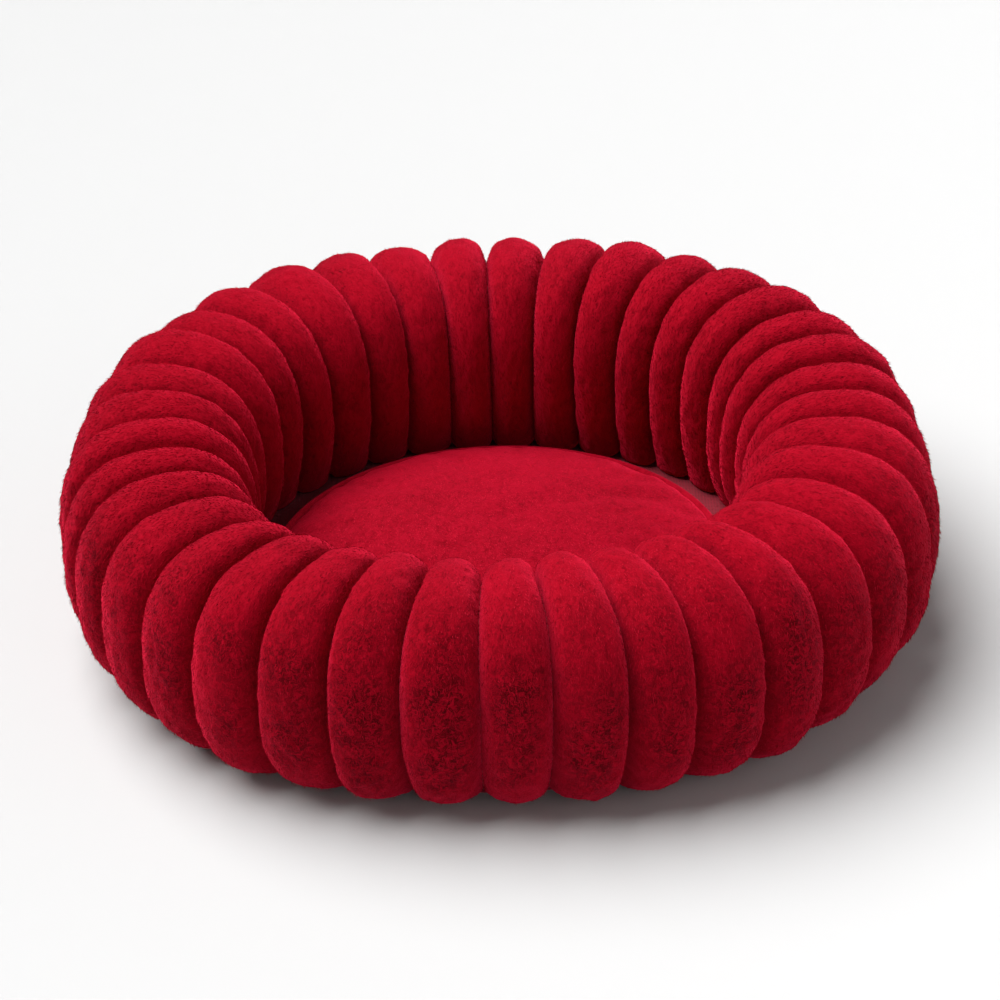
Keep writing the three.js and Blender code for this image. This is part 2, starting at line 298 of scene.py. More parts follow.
# Woven cloth: two sets of threads over object places, with a little slub
def wovenMaterial(name, dark, light, look=clothLook, sheen=0.1, roughness=0.85):
    material, tree, shader = newMaterial(name)
    link = tree.links.new
    place = addNode(tree, "ShaderNodeTexCoord")
    sets = []
    for direction in ("X", "Y"):
        wave = addNode(tree, "ShaderNodeTexWave", bands_direction=direction, Scale=look["threads"] / 6.0)
        wave.inputs["Distortion"].default_value = 0.6
        wave.inputs["Detail Scale"].default_value = 2.0
        link(place.outputs["Object"], wave.inputs["Vector"])
        sets.append(wave)
    weave = addNode(tree, "ShaderNodeMath", operation="MAXIMUM")
    link(sets[0].outputs["Fac"], weave.inputs[0])
    link(sets[1].outputs["Fac"], weave.inputs[1])
    slub = addNode(tree, "ShaderNodeTexNoise", Scale=120.0, Detail=3.0)
    link(place.outputs["Object"], slub.inputs["Vector"])
    mixed = addNode(tree, "ShaderNodeMix", data_type="FLOAT")
    mixed.inputs[0].default_value = 0.45
    link(weave.outputs[0], mixed.inputs[2])
    link(slub.outputs["Fac"], mixed.inputs[3])
    link(ramp(tree, mixed.outputs[0], [(0.3, dark), (0.75, light)]), shader.inputs["Base Color"])
    bump = addNode(tree, "ShaderNodeBump", Strength=look["bump"], Distance=0.0006)
    link(weave.outputs[0], bump.inputs["Height"])
    link(bump.outputs[0], shader.inputs["Normal"])
    shader.inputs["Roughness"].default_value = roughness
    shader.inputs["Specular IOR Level"].default_value = 0.25
    shader.inputs["Sheen Weight"].default_value = sheen
    return material


plush = plushMaterial("deepRedPlush", plushLook)
print("materials made")


# The wall's section, as a path with even steps
wall = {
    "roundness": 2.55,
    "outerEnd": 75.0,  # degrees under the widest line
    "channelDepth": 0.026,
    "endDepth": 0.006,
    "grooveDepth": 0.0175,  # seam below the crowns beside it
    "lower": 0.0065,  # how far the lining sits under the deepest seams
    "gather": 0.15,  # how much deeper the seams are near the outer end
    "alongSteps": 56,
    "acrossSteps": 10,
    "seamWander": 0.45,  # degrees
    "drift": [(325, 2.8, 28), (100, 1.0, 50)],  # where the seams have crept: place, by how much, over what
    "fullnessSpread": 0.10,
    "lean": 0.16,
    "planRoundness": 2.25,
    "planWave": 0.008,  # how far the ring is from even, as a share
}


def roundPower(value):
    return np.sign(value) * np.abs(value) ** (2 / wall["roundness"])


def sectionPoint(angle, depth):
    r = wallRadius + (halfWidth - depth) * roundPower(np.cos(angle))
    z = halfHeight + (halfHeight - depth) * roundPower(np.sin(angle))
    return r, z


def evenSection(steps):
    start = -math.radians(wall["outerEnd"])
    drop = 1 - (baseTop + 0.0003) / halfHeight
    end = math.pi + math.asin(drop ** (wall["roundness"] / 2))
    angle = np.linspace(start, end, 2000)
    r, z = sectionPoint(angle, 0.0)
    length = np.concatenate([[0], np.cumsum(np.hypot(np.diff(r), np.diff(z)))])
    even = np.linspace(0, length[-1], steps + 1)
    return np.interp(even, length, angle), even


sectionAngles, sectionLengths = evenSection(wall["alongSteps"])
sectionLength = sectionLengths[-1]


# Outward direction in the section, from the run of the path
def sectionNormals():
    r, z = sectionPoint(sectionAngles, 0.0)
    dr, dz = np.gradient(r), np.gradient(z)
    size = np.hypot(dr, dz)
    return dz / size, -dr / size


random.seed(11)
seamTurns = []
for k in range(ribCount):
    base = firstMiddle + (k - 0.5) * pitch
    slow = 0.9 * math.sin(2 * base + 0.9) + 0.5 * math.sin(3 * base + 2.0)
    for place, much, width in wall["drift"]:
        away = (math.degrees(base) - place + 180) % 360 - 180
        base -= math.radians(much) * math.exp(-((away / width) ** 2))
    seamTurns.append(base + math.radians(wall["seamWander"]) * (slow + random.uniform(-1, 1)))
ribLean = [random.uniform(-1, 1) * wall["lean"] for _ in range(ribCount)]
ribFull = [1 + random.uniform(-1, 1) * wall["fullnessSpread"] for _ in range(ribCount)]


# The stuffed ring lies a little square in plan, but stays round where it's sewn to the base
def planScale(turn, r, z):
    square = wall["planRoundness"]
    spread = np.abs(np.cos(turn)) ** square + np.abs(np.sin(turn)) ** square
    full = spread ** (-1 / square) * (1 - wall["planWave"] * 0.5 * (1 + np.cos(3 * (turn - 0.49))))
    free = np.where(r > wallRadius, z / 0.012, (z - baseTop) / 0.03)
    free = np.clip(free, 0, 1)
    return 1 + (full - 1) * free * free * (3 - 2 * free)


# How far the seam lies under the crowns, deepest where the channel's outer end is gathered
def grooveDepths():
    fromOuter = np.clip(sectionLengths / 0.05, 0, 1)
    fromInner = np.clip((sectionLength - sectionLengths) / 0.05, 0, 1)
    gathered = 1 + wall["gather"] * np.exp(-(((sectionLengths - 0.028) / 0.024) ** 2))
    return wall["grooveDepth"] * (0.4 + 0.6 * np.sqrt(np.minimum(fromOuter, fromInner))) * gathered


# Points of one seam from the outer end to the inner end
def seamLine(k, depthScale=1.0):
    turn = seamTurns[k % ribCount] + (2 * math.pi if k >= ribCount else 0)
    share = np.linspace(0, 1, wall["alongSteps"] + 1)
    r, z = sectionPoint(sectionAngles, grooveDepths() * depthScale)
    wobble = np.array([smoothNoise((s * 2.1, k * 3.7, 0), 1.0, 5.0) for s in share])
    turns = turn + math.radians(0.5) * wobble
    scale = planScale(turns, r, z)
    return np.stack([r * scale * np.cos(turns), r * scale * np.sin(turns), z], 1)


# Stuffed channels between the seams: a grid for each rib, [along, across, xyz]
def formRibs():
    across = np.linspace(-1, 1, wall["acrossSteps"] + 1)
    nr, nz = sectionNormals()
    grids = []
    for k in range(ribCount):
        left, right = seamLine(k), seamLine(k + 1)
        wrapped = 2 * math.pi if k == ribCount - 1 else 0
        middle = (seamTurns[k] + seamTurns[(k + 1) % ribCount] + wrapped) / 2
        outward = np.stack([nr * math.cos(middle), nr * math.sin(middle), nz], 1)
        depth = grooveDepths()
        grid = np.zeros((wall["alongSteps"] + 1, len(across), 3))
        for i in range(wall["alongSteps"] + 1):
            s = sectionLengths[i] / sectionLength
            swell = 1 + 0.10 * smoothNoise((s * 3.0, k * 5.1, 1), 1.0, 2.0)
            lean = ribLean[k] * math.sin(math.pi * s) + 0.18 * smoothNoise((s * 2.0, k * 2.3, 4), 1.0, 9.0)
            for j, u in enumerate(across):
                tilted = u + lean * (1 - u * u)
                rise = (1 - abs(tilted) ** 2.1) ** 0.52 if abs(tilted) < 1 else 0.0
                chord = left[i] * (1 - u) / 2 + right[i] * (1 + u) / 2
                grid[i, j] = chord + outward[i] * depth[i] * rise * ribFull[k] * swell
        grids.append(grid)
    return grids


ribGrids = formRibs()
print("ribs laid out")


# Inflate the whole ring at once, with the seams held
inflate = {
    "frames": 20,
    "pressure": 4.0,
    "quality": 6,
    "tension": 22.0,
    "bending": 0.6,
    "mostMove": 0.007,
    "uneven": 0.0005,  # random start, so that the cloth doesn't swell evenly
}


def inflateRibs(grids):
    rows, cols = wall["alongSteps"] + 1, wall["acrossSteps"]
    points, faces, held = [], [], []
    rng = random.Random(23)
    for k, grid in enumerate(grids):
        for i in range(rows):
            for j in range(cols):  # the last column belongs to the next rib
                p = grid[i, j].copy()
                pinned = j == 0 or i == 0 or i == rows - 1
                if not pinned:
                    p += np.array([rng.uniform(-1, 1) for _ in range(3)]) * inflate["uneven"]
                points.append(p)
                if pinned:
                    held.append(len(points) - 1)
    total = ribCount * rows * cols

    def at(k, i, j):
        if j == cols:
            k, j = (k + 1) % ribCount, 0
        return (k * rows + i) * cols + j

    for k in range(ribCount):
        for i in range(rows - 1):
            for j in range(cols):
                faces.append((at(k, i, j), at(k, i, j + 1), at(k, i + 1, j + 1), at(k, i + 1, j)))
    ring = meshObject("ringSkin", points, faces)
    seams = ring.vertex_groups.new(name="seams")
    seams.add(held, 1.0, "REPLACE")
    cloth = ring.modifiers.new("inflate", "CLOTH")
    settings = cloth.settings
    settings.quality = inflate["quality"]
    settings.mass = 0.3
    settings.tension_stiffness = inflate["tension"]
    settings.compression_stiffness = inflate["tension"]
    settings.shear_stiffness = 5.0
    settings.bending_stiffness = inflate["bending"]
    settings.use_pressure = True
    settings.uniform_pressure_force = inflate["pressure"]
    settings.vertex_group_mass = "seams"
    settings.pin_stiffness = 1.0
    settings.effector_weights.gravity = 0.0
    cloth.collision_settings.use_collision = False
    cloth.point_cache.frame_start = 1
    cloth.point_cache.frame_end = inflate["frames"]
    start = np.array(points)
    for step in range(1, inflate["frames"] + 1):
        scene.frame_set(step)
    settled = ring.evaluated_get(bpy.context.evaluated_depsgraph_get())
    ended = np.zeros(total * 3)
    settled.data.vertices.foreach_get("co", ended)
    ended = ended.reshape(-1, 3)
    move = ended - start
    size = np.linalg.norm(move, axis=1, keepdims=True)
    print("cloth moved up to", round(float(size.max()) * 1000, 1), "mm")
    move *= np.minimum(1, inflate["mostMove"] / np.maximum(size, 1e-9))
    ended = start + move
    bpy.data.objects.remove(ring)
    scene.frame_set(1)
    blown = []
    for k in range(ribCount):
        grid = np.zeros((rows, cols + 1, 3))
        for i in range(rows):
            for j in range(cols + 1):
                grid[i, j] = ended[at(k, i, j)]
        blown.append(grid)
    return blown


ribGrids = inflateRibs(ribGrids)
print("ribs inflated")


# Finer grids, pile relief and closed rib pieces
def halveSteps(grid, axis):
    grid = np.moveaxis(grid, axis, 0)
    before = np.concatenate([2 * grid[:1] - grid[1:2], grid[:-1]])
    after = np.concatenate([grid[1:], 2 * grid[-1:] - grid[-2:-1]])
    middle = (9 * (grid[:-1] + grid[1:]) - before[:-1] - after[1:]) / 16
    fine = np.zeros((len(grid) * 2 - 1, *grid.shape[1:]))
    fine[0::2] = grid
    fine[1::2] = middle
    return np.moveaxis(fine, 0, axis)


def gridNormals(grid):
    along = np.gradient(grid, axis=0)
    across = np.gradient(grid, axis=1)
    normal = np.cross(across, along)
    return normal / np.maximum(np.linalg.norm(normal, axis=2, keepdims=True), 1e-9)


relief = {"tuft": 0.00015, "curl": 0.0007, "dimple": 0.0005, "pinch": 0.0004}
# Band of mussed nap on the rib's outer face, which also darkens it as painted shade
ruffleShadeBand = {"middle": 0.235, "reach": 0.205, "most": 1.05, "least": 0.75}  # along the rib from its outer end


# How much the nap is curled and mussed on the rib's outer face; the same share darkens that face, which is
# painted shade
def ruffleShare(grid, k):
    rows, cols = grid.shape[:2]
    along = (np.linspace(0, 1, rows) - ruffleShadeBand["middle"]) / ruffleShadeBand["reach"]
    across = np.linspace(-1, 1, cols)
    band = np.exp(-np.abs(along) ** 3)[:, None] * (1 - 0.75 * np.abs(across) ** 2.5)[None, :]
    much = ruffleShadeBand["least"] + (ruffleShadeBand["most"] - ruffleShadeBand["least"]) * random.Random(k * 7 + 3).random()
    patchy = np.array([[smoothNoise(p, 0.035, 15.0) for p in line] for line in grid])
    return np.clip(band * (much + 0.7 * patchy), 0, 1)


def addRelief(grid, k, ruffleShade):
    normal = gridNormals(grid)
    rows, cols = grid.shape[:2]
    for i in range(rows):
        for j in range(1, cols - 1):
            p = grid[i, j]
            edge = min(j, cols - 1 - j) / (cols - 1) * 2
            hold = easeIn(edge, 0.35)
            tuft = relief["tuft"] + relief["curl"] * ruffleShade[i, j]
            lift = tuft * smoothNoise(p, 0.0075, 3.0) + relief["dimple"] * smoothNoise(p, 0.026, 8.0)
            pull = relief["pinch"] * smoothNoise((i * 0.55, k * 9.0, j * 0.1), 1.0, 4.0) * (1 - hold)
            grid[i, j] = p + normal[i, j] * (lift * hold - pull)
    grid[:, :, 2] = np.maximum(grid[:, :, 2], 0.0006)
    return grid


# Back of a rib, against the lining: same rows, three columns
def ribBack(k, rows):
    angles = np.interp(np.linspace(0, 1, rows), np.linspace(0, 1, len(sectionAngles)), sectionAngles)
    share = np.linspace(0, 1, rows)
    depth = wall["endDepth"] + (wall["channelDepth"] - wall["endDepth"]) * np.sin(math.pi * share) ** 0.6
    grooves = np.interp(share, np.linspace(0, 1, len(sectionAngles)), grooveDepths())
    r, z = sectionPoint(angles, np.maximum(depth, grooves + 0.002))
    first = seamTurns[k]
    last = seamTurns[(k + 1) % ribCount] + (2 * math.pi if k == ribCount - 1 else 0)
    margin = -0.0003 / r  # neighbours close on each other behind the seam
    turns = np.stack([first + margin, np.full(rows, (first + last) / 2), last - margin], 1)
    r, z = r[:, None], np.repeat(z[:, None], 3, 1)
    scale = planScale(turns, r, z)
    return np.stack([r * scale * np.cos(turns), r * scale * np.sin(turns), z], 2)


def ribPiece(k, grid, ruffleShade):
    rows, cols = grid.shape[:2]
    inset = 0.00015
    for j in (0, cols - 1):
        side = grid[:, cols // 2] - grid[:, j]
        side[:, 2] = 0
        grid[:, j] += side / np.maximum(np.linalg.norm(side, axis=1, keepdims=True), 1e-9) * inset
    back = ribBack(k, rows)
    points = np.concatenate([grid.reshape(-1, 3), back.reshape(-1, 3)])
    offset = rows * cols
    faces, places = [], []

    def skin(i, j):
        return i * cols + j

    def behind(i, j):
        return offset + i * 3 + j

    skinU, skinV = np.linspace(0.01, 0.99, cols), np.linspace(0.27, 0.99, rows)
    backV = np.linspace(0.01, 0.99, rows)
    for i in range(rows - 1):
        for j in range(cols - 1):
            faces.append((skin(i, j), skin(i, j + 1), skin(i + 1, j + 1), skin(i + 1, j)))
            left, right, low, high = skinU[j], skinU[j + 1], skinV[i], skinV[i + 1]
            places.append([(left, low), (right, low), (right, high), (left, high)])
        for j in range(2):
            faces.append((behind(i, j + 1), behind(i, j), behind(i + 1, j), behind(i + 1, j + 1)))
            low, high = 0.01 + 0.05 * j, 0.06 + 0.05 * j
            places.append([(backV[i], high), (backV[i], low), (backV[i + 1], low), (backV[i + 1], high)])
        for strip, (near, far) in enumerate(((0, 0), (cols - 1, 2))):
            quad = [skin(i, near), skin(i + 1, near), behind(i + 1, far), behind(i, far)]
            low, high = 0.125 + 0.06 * strip, 0.175 + 0.06 * strip
            place = [(backV[i], low), (backV[i + 1], low), (backV[i + 1], high), (backV[i], high)]
            if strip:
                quad.reverse()
                place.reverse()
            faces.append(tuple(quad))
            places.append(place)
    for end, i in enumerate((0, rows - 1)):
        rim = [skin(i, j) for j in range(cols)] + [behind(i, j) for j in (2, 1, 0)]
        if i == 0:
            rim.reverse()
        faces.append(tuple(rim))
        turn = [2 * math.pi * n / len(rim) for n in range(len(rim))]
        places.append([(0.3 + 0.4 * end + 0.03 * math.cos(t), 0.255 + 0.004 * math.sin(t)) for t in turn])
    made = meshObject("plushRib_%02d" % (k + 1), points, faces)
    layer = made.data.uv_layers.new(name="OFBake")
    flat = [xy for place in places for xy in place]
    layer.data.foreach_set("uv", np.array(flat, dtype=np.float32).ravel())
    # where each point lies on the cloth, in metres: across the rib, along it
    width = np.linspace(-1, 1, cols) * 0.026
    length = np.linspace(0, sectionLength, rows)
    lay = np.zeros((len(points), 3))
    lay[:offset, 0] = np.tile(width, rows) + k * 0.31
    lay[:offset, 1] = np.repeat(length, cols)
    lay[offset:, 0] = np.tile([-0.02, 0, 0.02], rows) + k * 0.31
    lay[offset:, 1] = np.repeat(length, 3)
    store = made.data.attributes.new("pileMap", "FLOAT_VECTOR", "POINT")
    store.data.foreach_set("vector", lay.astype(np.float32).ravel())
    # the band's share, which also places painted shade in the plush and the pile
    much = made.data.attributes.new("pileRuffleShade", "FLOAT", "POINT")
    much.data.foreach_set("value", np.concatenate([ruffleShade.ravel(), np.zeros(rows * 3)]).astype(np.float32))
    made.data.materials.append(plush)
    return made


ribSkins = []
ribRuffleShades = []


def makeRibs():
    ribs = []
    for k in range(ribCount):
        grid = halveSteps(halveSteps(ribGrids[k], 0), 1)
        ruffleShade = ruffleShare(grid, k)
        grid = addRelief(grid, k, ruffleShade)
        ribSkins.append(grid.copy())
        ribRuffleShades.append(ruffleShade)
        ribs.append(ribPiece(k, grid, ruffleShade))
    return ribs


plushRibs = makeRibs()
for k, rib in enumerate(plushRibs):
    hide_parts(ribNames[k])
    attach(rib, "bed")
print("ribs finished")


# Pile: short tufts, lying the way that the cloth is brushed
pile = {
    "tufts": 220000.0,  # a square metre
    "length": 0.0028,
    "width": 0.0004,
    "rise": 0.17,
    "mess": 0.14,
    "swirl": 0.9,
    "sectors": 10,
}


def pileTree():
    tree, given, result = newTree("pile", {
        "Tufts": 300000.0,
        "Length": 0.004,
        "Width": 0.001,
        "Rise": 0.4,
        "Mess": 0.3,
        "Swirl": 1.0,
        "Seed": 1,
        "Root": None,
        "Deep": None,
        "Dark": None,
        "Body": None,
        "Tip": None,
    })
    link = tree.links.new
    share = tree.nodes.new("GeometryNodeInputNamedAttribute")
    share.data_type = "FLOAT"
    share.inputs["Name"].default_value = "pileShare"
    spread = tree.nodes.new("GeometryNodeDistributePointsOnFaces")
    link(given["Geometry"], spread.inputs["Mesh"])
    link(mathNode(tree, "MULTIPLY", given["Tufts"], share.outputs[0]), spread.inputs["Density"])
    link(given["Seed"], spread.inputs["Seed"])
    flow = tree.nodes.new("GeometryNodeInputNamedAttribute")
    flow.data_type = "FLOAT_VECTOR"
    flow.inputs["Name"].default_value = "pileFlow"
    ruffleShade = tree.nodes.new("GeometryNodeInputNamedAttribute")
    ruffleShade.data_type = "FLOAT"
    ruffleShade.inputs["Name"].default_value = "pileRuffleShade"
    swirl = addNode(tree, "ShaderNodeTexNoise", Scale=85.0, Detail=1.5, Roughness=0.5)
    curl = mathNode(tree, "MULTIPLY", given["Swirl"], mathNode(tree, "ADD", 1.0, ruffleShade.outputs[0]))
    centred = vectorNode(tree, "SUBTRACT", swirl.outputs["Color"], (0.5, 0.5, 0.5))
    turned = vectorNode(tree, "SCALE", centred, curl)
    wild = mathNode(tree, "ADD", given["Mess"], mathNode(tree, "MULTIPLY", 0.45, ruffleShade.outputs[0]))
    anyWay = randomNode(tree, "FLOAT_VECTOR", (-1, -1, -1), (1, 1, 1), given["Seed"])
    mess = vectorNode(tree, "SCALE", anyWay, wild)
    lift = mathNode(tree, "ADD", given["Rise"], mathNode(tree, "MULTIPLY", 0.15, ruffleShade.outputs[0]))
    raised = vectorNode(tree, "SCALE", spread.outputs["Normal"], lift)
    curled = vectorNode(tree, "ADD", flow.outputs[0], turned)
    aim = vectorNode(tree, "ADD", curled, vectorNode(tree, "ADD", mess, raised))
    turn = tree.nodes.new("FunctionNodeAlignRotationToVector")
    turn.axis = "Z"
    link(aim, turn.inputs["Vector"])
    tuft = tree.nodes.new("GeometryNodeMeshCone")
    tuft.inputs["Vertices"].default_value = 3
    tuft.inputs["Radius Top"].default_value = 0.0
    link(mathNode(tree, "MULTIPLY", given["Width"], 0.5), tuft.inputs["Radius Bottom"])
    link(given["Length"], tuft.inputs["Depth"])
    plant = tree.nodes.new("GeometryNodeInstanceOnPoints")
    link(spread.outputs["Points"], plant.inputs["Points"])
    link(tuft.outputs["Mesh"], plant.inputs["Instance"])
    link(turn.outputs[0], plant.inputs["Rotation"])
    link(randomNode(tree, "FLOAT", 0.7, 1.25, given["Seed"]), plant.inputs["Scale"])
    patches = addNode(tree, "ShaderNodeTexNoise", Scale=170.0, Detail=2.0, Roughness=0.6)
    stray = randomNode(tree, "FLOAT", -0.1, 0.1, given["Seed"])
    shade = tree.nodes.new("GeometryNodeStoreNamedAttribute")
    shade.domain = "INSTANCE"
    shade.data_type = "FLOAT"
    shade.inputs["Name"].default_value = "shade"
    link(plant.outputs["Instances"], shade.inputs["Geometry"])
    # painted shade: on the band of mussed nap the tufts' tone sinks, so more take the Root and Deep materials
    paintedShadeSink = mathNode(tree, "MULTIPLY", ruffleShade.outputs[0], -0.09)
    patchy = mathNode(tree, "ADD", patches.outputs["Fac"], stray)
    link(mathNode(tree, "ADD", patchy, paintedShadeSink), shade.inputs["Value"])
    loose = tree.nodes.new("GeometryNodeRealizeInstances")
    link(shade.outputs[0], loose.inputs["Geometry"])
    last = loose.outputs[0]
    read = tree.nodes.new("GeometryNodeInputNamedAttribute")
    read.data_type = "FLOAT"
    read.inputs["Name"].default_value = "shade"
    for label, over in (("Root", -9.0), ("Deep", 0.37), ("Dark", 0.42), ("Body", 0.49), ("Tip", 0.60)):
        paint = tree.nodes.new("GeometryNodeSetMaterial")
        link(last, paint.inputs["Geometry"])
        link(mathNode(tree, "GREATER_THAN", read.outputs[0], over), paint.inputs["Selection"])
        link(given[label], paint.inputs["Material"])
        last = paint.outputs[0]
    link(last, result["Geometry"])
    return tree


def pileMaterial(name, colour, sheen, tint):
    material, tree, shader = newMaterial(name)
    shader.inputs["Base Color"].default_value = (*colour, 1)
    shader.inputs["Roughness"].default_value = 0.9
    shader.inputs["Specular IOR Level"].default_value = 0.04
    shader.inputs["Sheen Weight"].default_value = sheen
    shader.inputs["Sheen Roughness"].default_value = 0.5
    shader.inputs["Sheen Tint"].default_value = (*tint, 1)
    return material


# Five tones picked by noise; Root and Deep gather on the rib's outer face as painted shade
pileShades = {
    "Root": pileMaterial("pileRoot", (0.07, 0.0, 0.002), 0.35, (1.0, 0.03, 0.08)),
    "Deep": pileMaterial("pileDeep", (0.16, 0.0001, 0.003), 0.6, (1.0, 0.03, 0.08)),
    "Dark": pileMaterial("pileDark", (0.22, 0.0002, 0.005), 0.8, (1.0, 0.03, 0.08)),
    "Body": pileMaterial("pileBody", (0.27, 0.0003, 0.007), 0.9, (1.0, 0.03, 0.08)),
    "Tip": pileMaterial("pileTip", (0.33, 0.0005, 0.010), 1.0, (1.0, 0.035, 0.09)),
}
pileNodes = pileTree()


# Tufts over open grids of points, which say how thick the pile is and which way it lies
def growPile(name, grids, flows, shares, ruffleShades, seed):
    points, faces, flow, share, ruffleShade = [], [], [], [], []
    for grid, way, much, wild in zip(grids, flows, shares, ruffleShades):
        first = len(points)
        rows, cols = grid.shape[:2]
        points += [tuple(p) for p in grid.reshape(-1, 3)]
        flow.append(way.reshape(-1, 3))
        share.append(much.ravel())
        ruffleShade.append(wild.ravel())
        for i in range(rows - 1):
            for j in range(cols - 1):
                at = first + i * cols + j
                faces.append((at, at + 1, at + cols + 1, at + cols))
    made = meshObject(name, points, faces)
    way = made.data.attributes.new("pileFlow", "FLOAT_VECTOR", "POINT")
    way.data.foreach_set("vector", np.concatenate(flow).astype(np.float32).ravel())
    much = made.data.attributes.new("pileShare", "FLOAT", "POINT")
    much.data.foreach_set("value", np.concatenate(share).astype(np.float32))
    wild = made.data.attributes.new("pileRuffleShade", "FLOAT", "POINT")
    wild.data.foreach_set("value", np.concatenate(ruffleShade).astype(np.float32))
    labels = ("tufts", "length", "width", "rise", "mess", "swirl")
    values = {label.capitalize(): pile[label] for label in labels}
    growNodes(made, pileNodes, {**values, "Seed": seed, **pileShades})
    for attribute in ("pileFlow", "pileShare", "pileRuffleShade", "shade"):
        if attribute in made.data.attributes:
            made.data.attributes.remove(made.data.attributes[attribute])
    return made


# The nap on a rib runs one way, down to its outer end
def ribPile(grid):
    rows, cols = grid.shape[:2]
    flow = -np.gradient(grid, axis=0)
    flow /= np.maximum(np.linalg.norm(flow, axis=2, keepdims=True), 1e-9)
    share = np.clip((grid[:, :, 2] - 0.004) / 0.006, 0, 1)
    edge = np.minimum(np.arange(cols), np.arange(cols)[::-1])
    return flow, share * np.clip(0.25 + edge / 2.5, 0, 1)[None, :]


def makePile():
    sets = np.array_split(np.arange(ribCount), pile["sectors"])
    for n, chosen in enumerate(sets):
        flows, shares = zip(*[ribPile(ribSkins[k]) for k in chosen])
        skins, ruffleShades = [ribSkins[k] for k in chosen], [ribRuffleShades[k] for k in chosen]
        made = growPile("ribPile_%02d" % (n + 1), skins, flows, shares, ruffleShades, 40 + n)
        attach(made, "bed")
        print(made.name, len(made.data.polygons), "faces")


makePile()
print("ribs covered in pile")


# A closed body from rings of points, each ring a list of x, y, z, first and last closed with a cap
def ringsBody(name, rings):
    count = len(rings[0])
    points = [p for ring in rings for p in ring]
    faces = []
    for i in range(len(rings) - 1):
        for j in range(count):
            after = (j + 1) % count
            faces.append((i * count + j, i * count + after, (i + 1) * count + after, (i + 1) * count + j))
    for ring, flip in ((0, True), (len(rings) - 1, False)):
        middle = np.mean(rings[ring], axis=0)
        points.append(tuple(middle))
        for j in range(count):
            pair = (ring * count + j, ring * count + (j + 1) % count)
            faces.append((len(points) - 1, *(reversed(pair) if flip else pair)))
    return meshObject(name, points, faces)


def circlePoints(radius, z, count, wave=None):
    turns = np.linspace(0, 2 * math.pi, count, endpoint=False)
    radii = np.full(count, radius) if wave is None else radius + wave
    return np.stack([radii * np.cos(turns), radii * np.sin(turns), np.full(count, z)], 1)


# The place of each point, for a nap that lies flat on the whole piece
def layFlat(made):
    if "pileMap" in made.data.attributes:
        made.data.attributes.remove(made.data.attributes["pileMap"])
    store = made.data.attributes.new("pileMap", "FLOAT_VECTOR", "POINT")
    places = np.array([v.co[:] for v in made.data.vertices], dtype=np.float32)
    store.data.foreach_set("vector", places.ravel())


def faceOutward(made):
    shape = bmesh.new()
    shape.from_mesh(made.data)
    bmesh.ops.remove_doubles(shape, verts=shape.verts, dist=0.00001)
    bmesh.ops.recalc_face_normals(shape, faces=shape.faces)
    shape.to_mesh(made.data)
    shape.free()
    return made


def applyModifiers(made):
    ready = made.evaluated_get(bpy.context.evaluated_depsgraph_get())
    plain = bpy.data.meshes.new_from_object(ready)
    made.modifiers.clear()
    made.data = plain
    for polygon in plain.polygons:
        polygon.use_smooth = True
    return made


# A merged copy of a CAD node's mesh, for pieces that keep its shape and gain detail
def nodeCopy(name, node):
    made = bpy.data.objects.new(name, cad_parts[node].data.copy())
    made.data.transform(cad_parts[node].matrix_world)
    scene.collection.objects.link(made)
    made.data.materials.clear()
    return faceOutward(made)


def finishPiece(made, material, slot, body, *nodes):
    if material is not None:
        made.data.materials.clear()
        made.data.materials.append(material)
    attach(made, body)
    if nodes:
        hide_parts(*nodes)
    return made


# The loose cushion in the nest
piping = {"tube": 0.0034, "around": 14}
cushion = {
    "radius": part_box("cushion_top_cover")[1].x,
    "seamHeight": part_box("cushion_bottom_cover")[1].z,
    "bottom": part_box("cushion_bottom_cover")[0].z,
    "top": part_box("cushion_top_cover")[1].z,
    "around": 120,
    "rings": 22,
    "startShare": 0.93,  # the cloth swells to its size
    "mostMove": 0.010,
    "puckers": 46,
    "puckerDepth": 0.0011,
    "hollow": 0.004,  # where the animal lies
}


# Rings of the cushion from the middle of its underside to the middle of its top
def cushionRings():
    rings = []
    seam, radius = cushion["seamHeight"], cushion["radius"]
    for side in (-1, 1):
        span = seam - cushion["bottom"] if side < 0 else cushion["top"] - seam
        steps = np.linspace(0.02, 1, cushion["rings"])
        if side > 0:
            steps = steps[::-1][1:]
        for share in steps:
            bulge = (1 - share**3.2) ** 0.62
            z = seam + side * span * bulge * cushion["startShare"]
            if side > 0:
                z -= cushion["hollow"] * math.exp(-((share / 0.45) ** 2))
            rings.append(circlePoints(radius * share, z, cushion["around"]))
    return rings


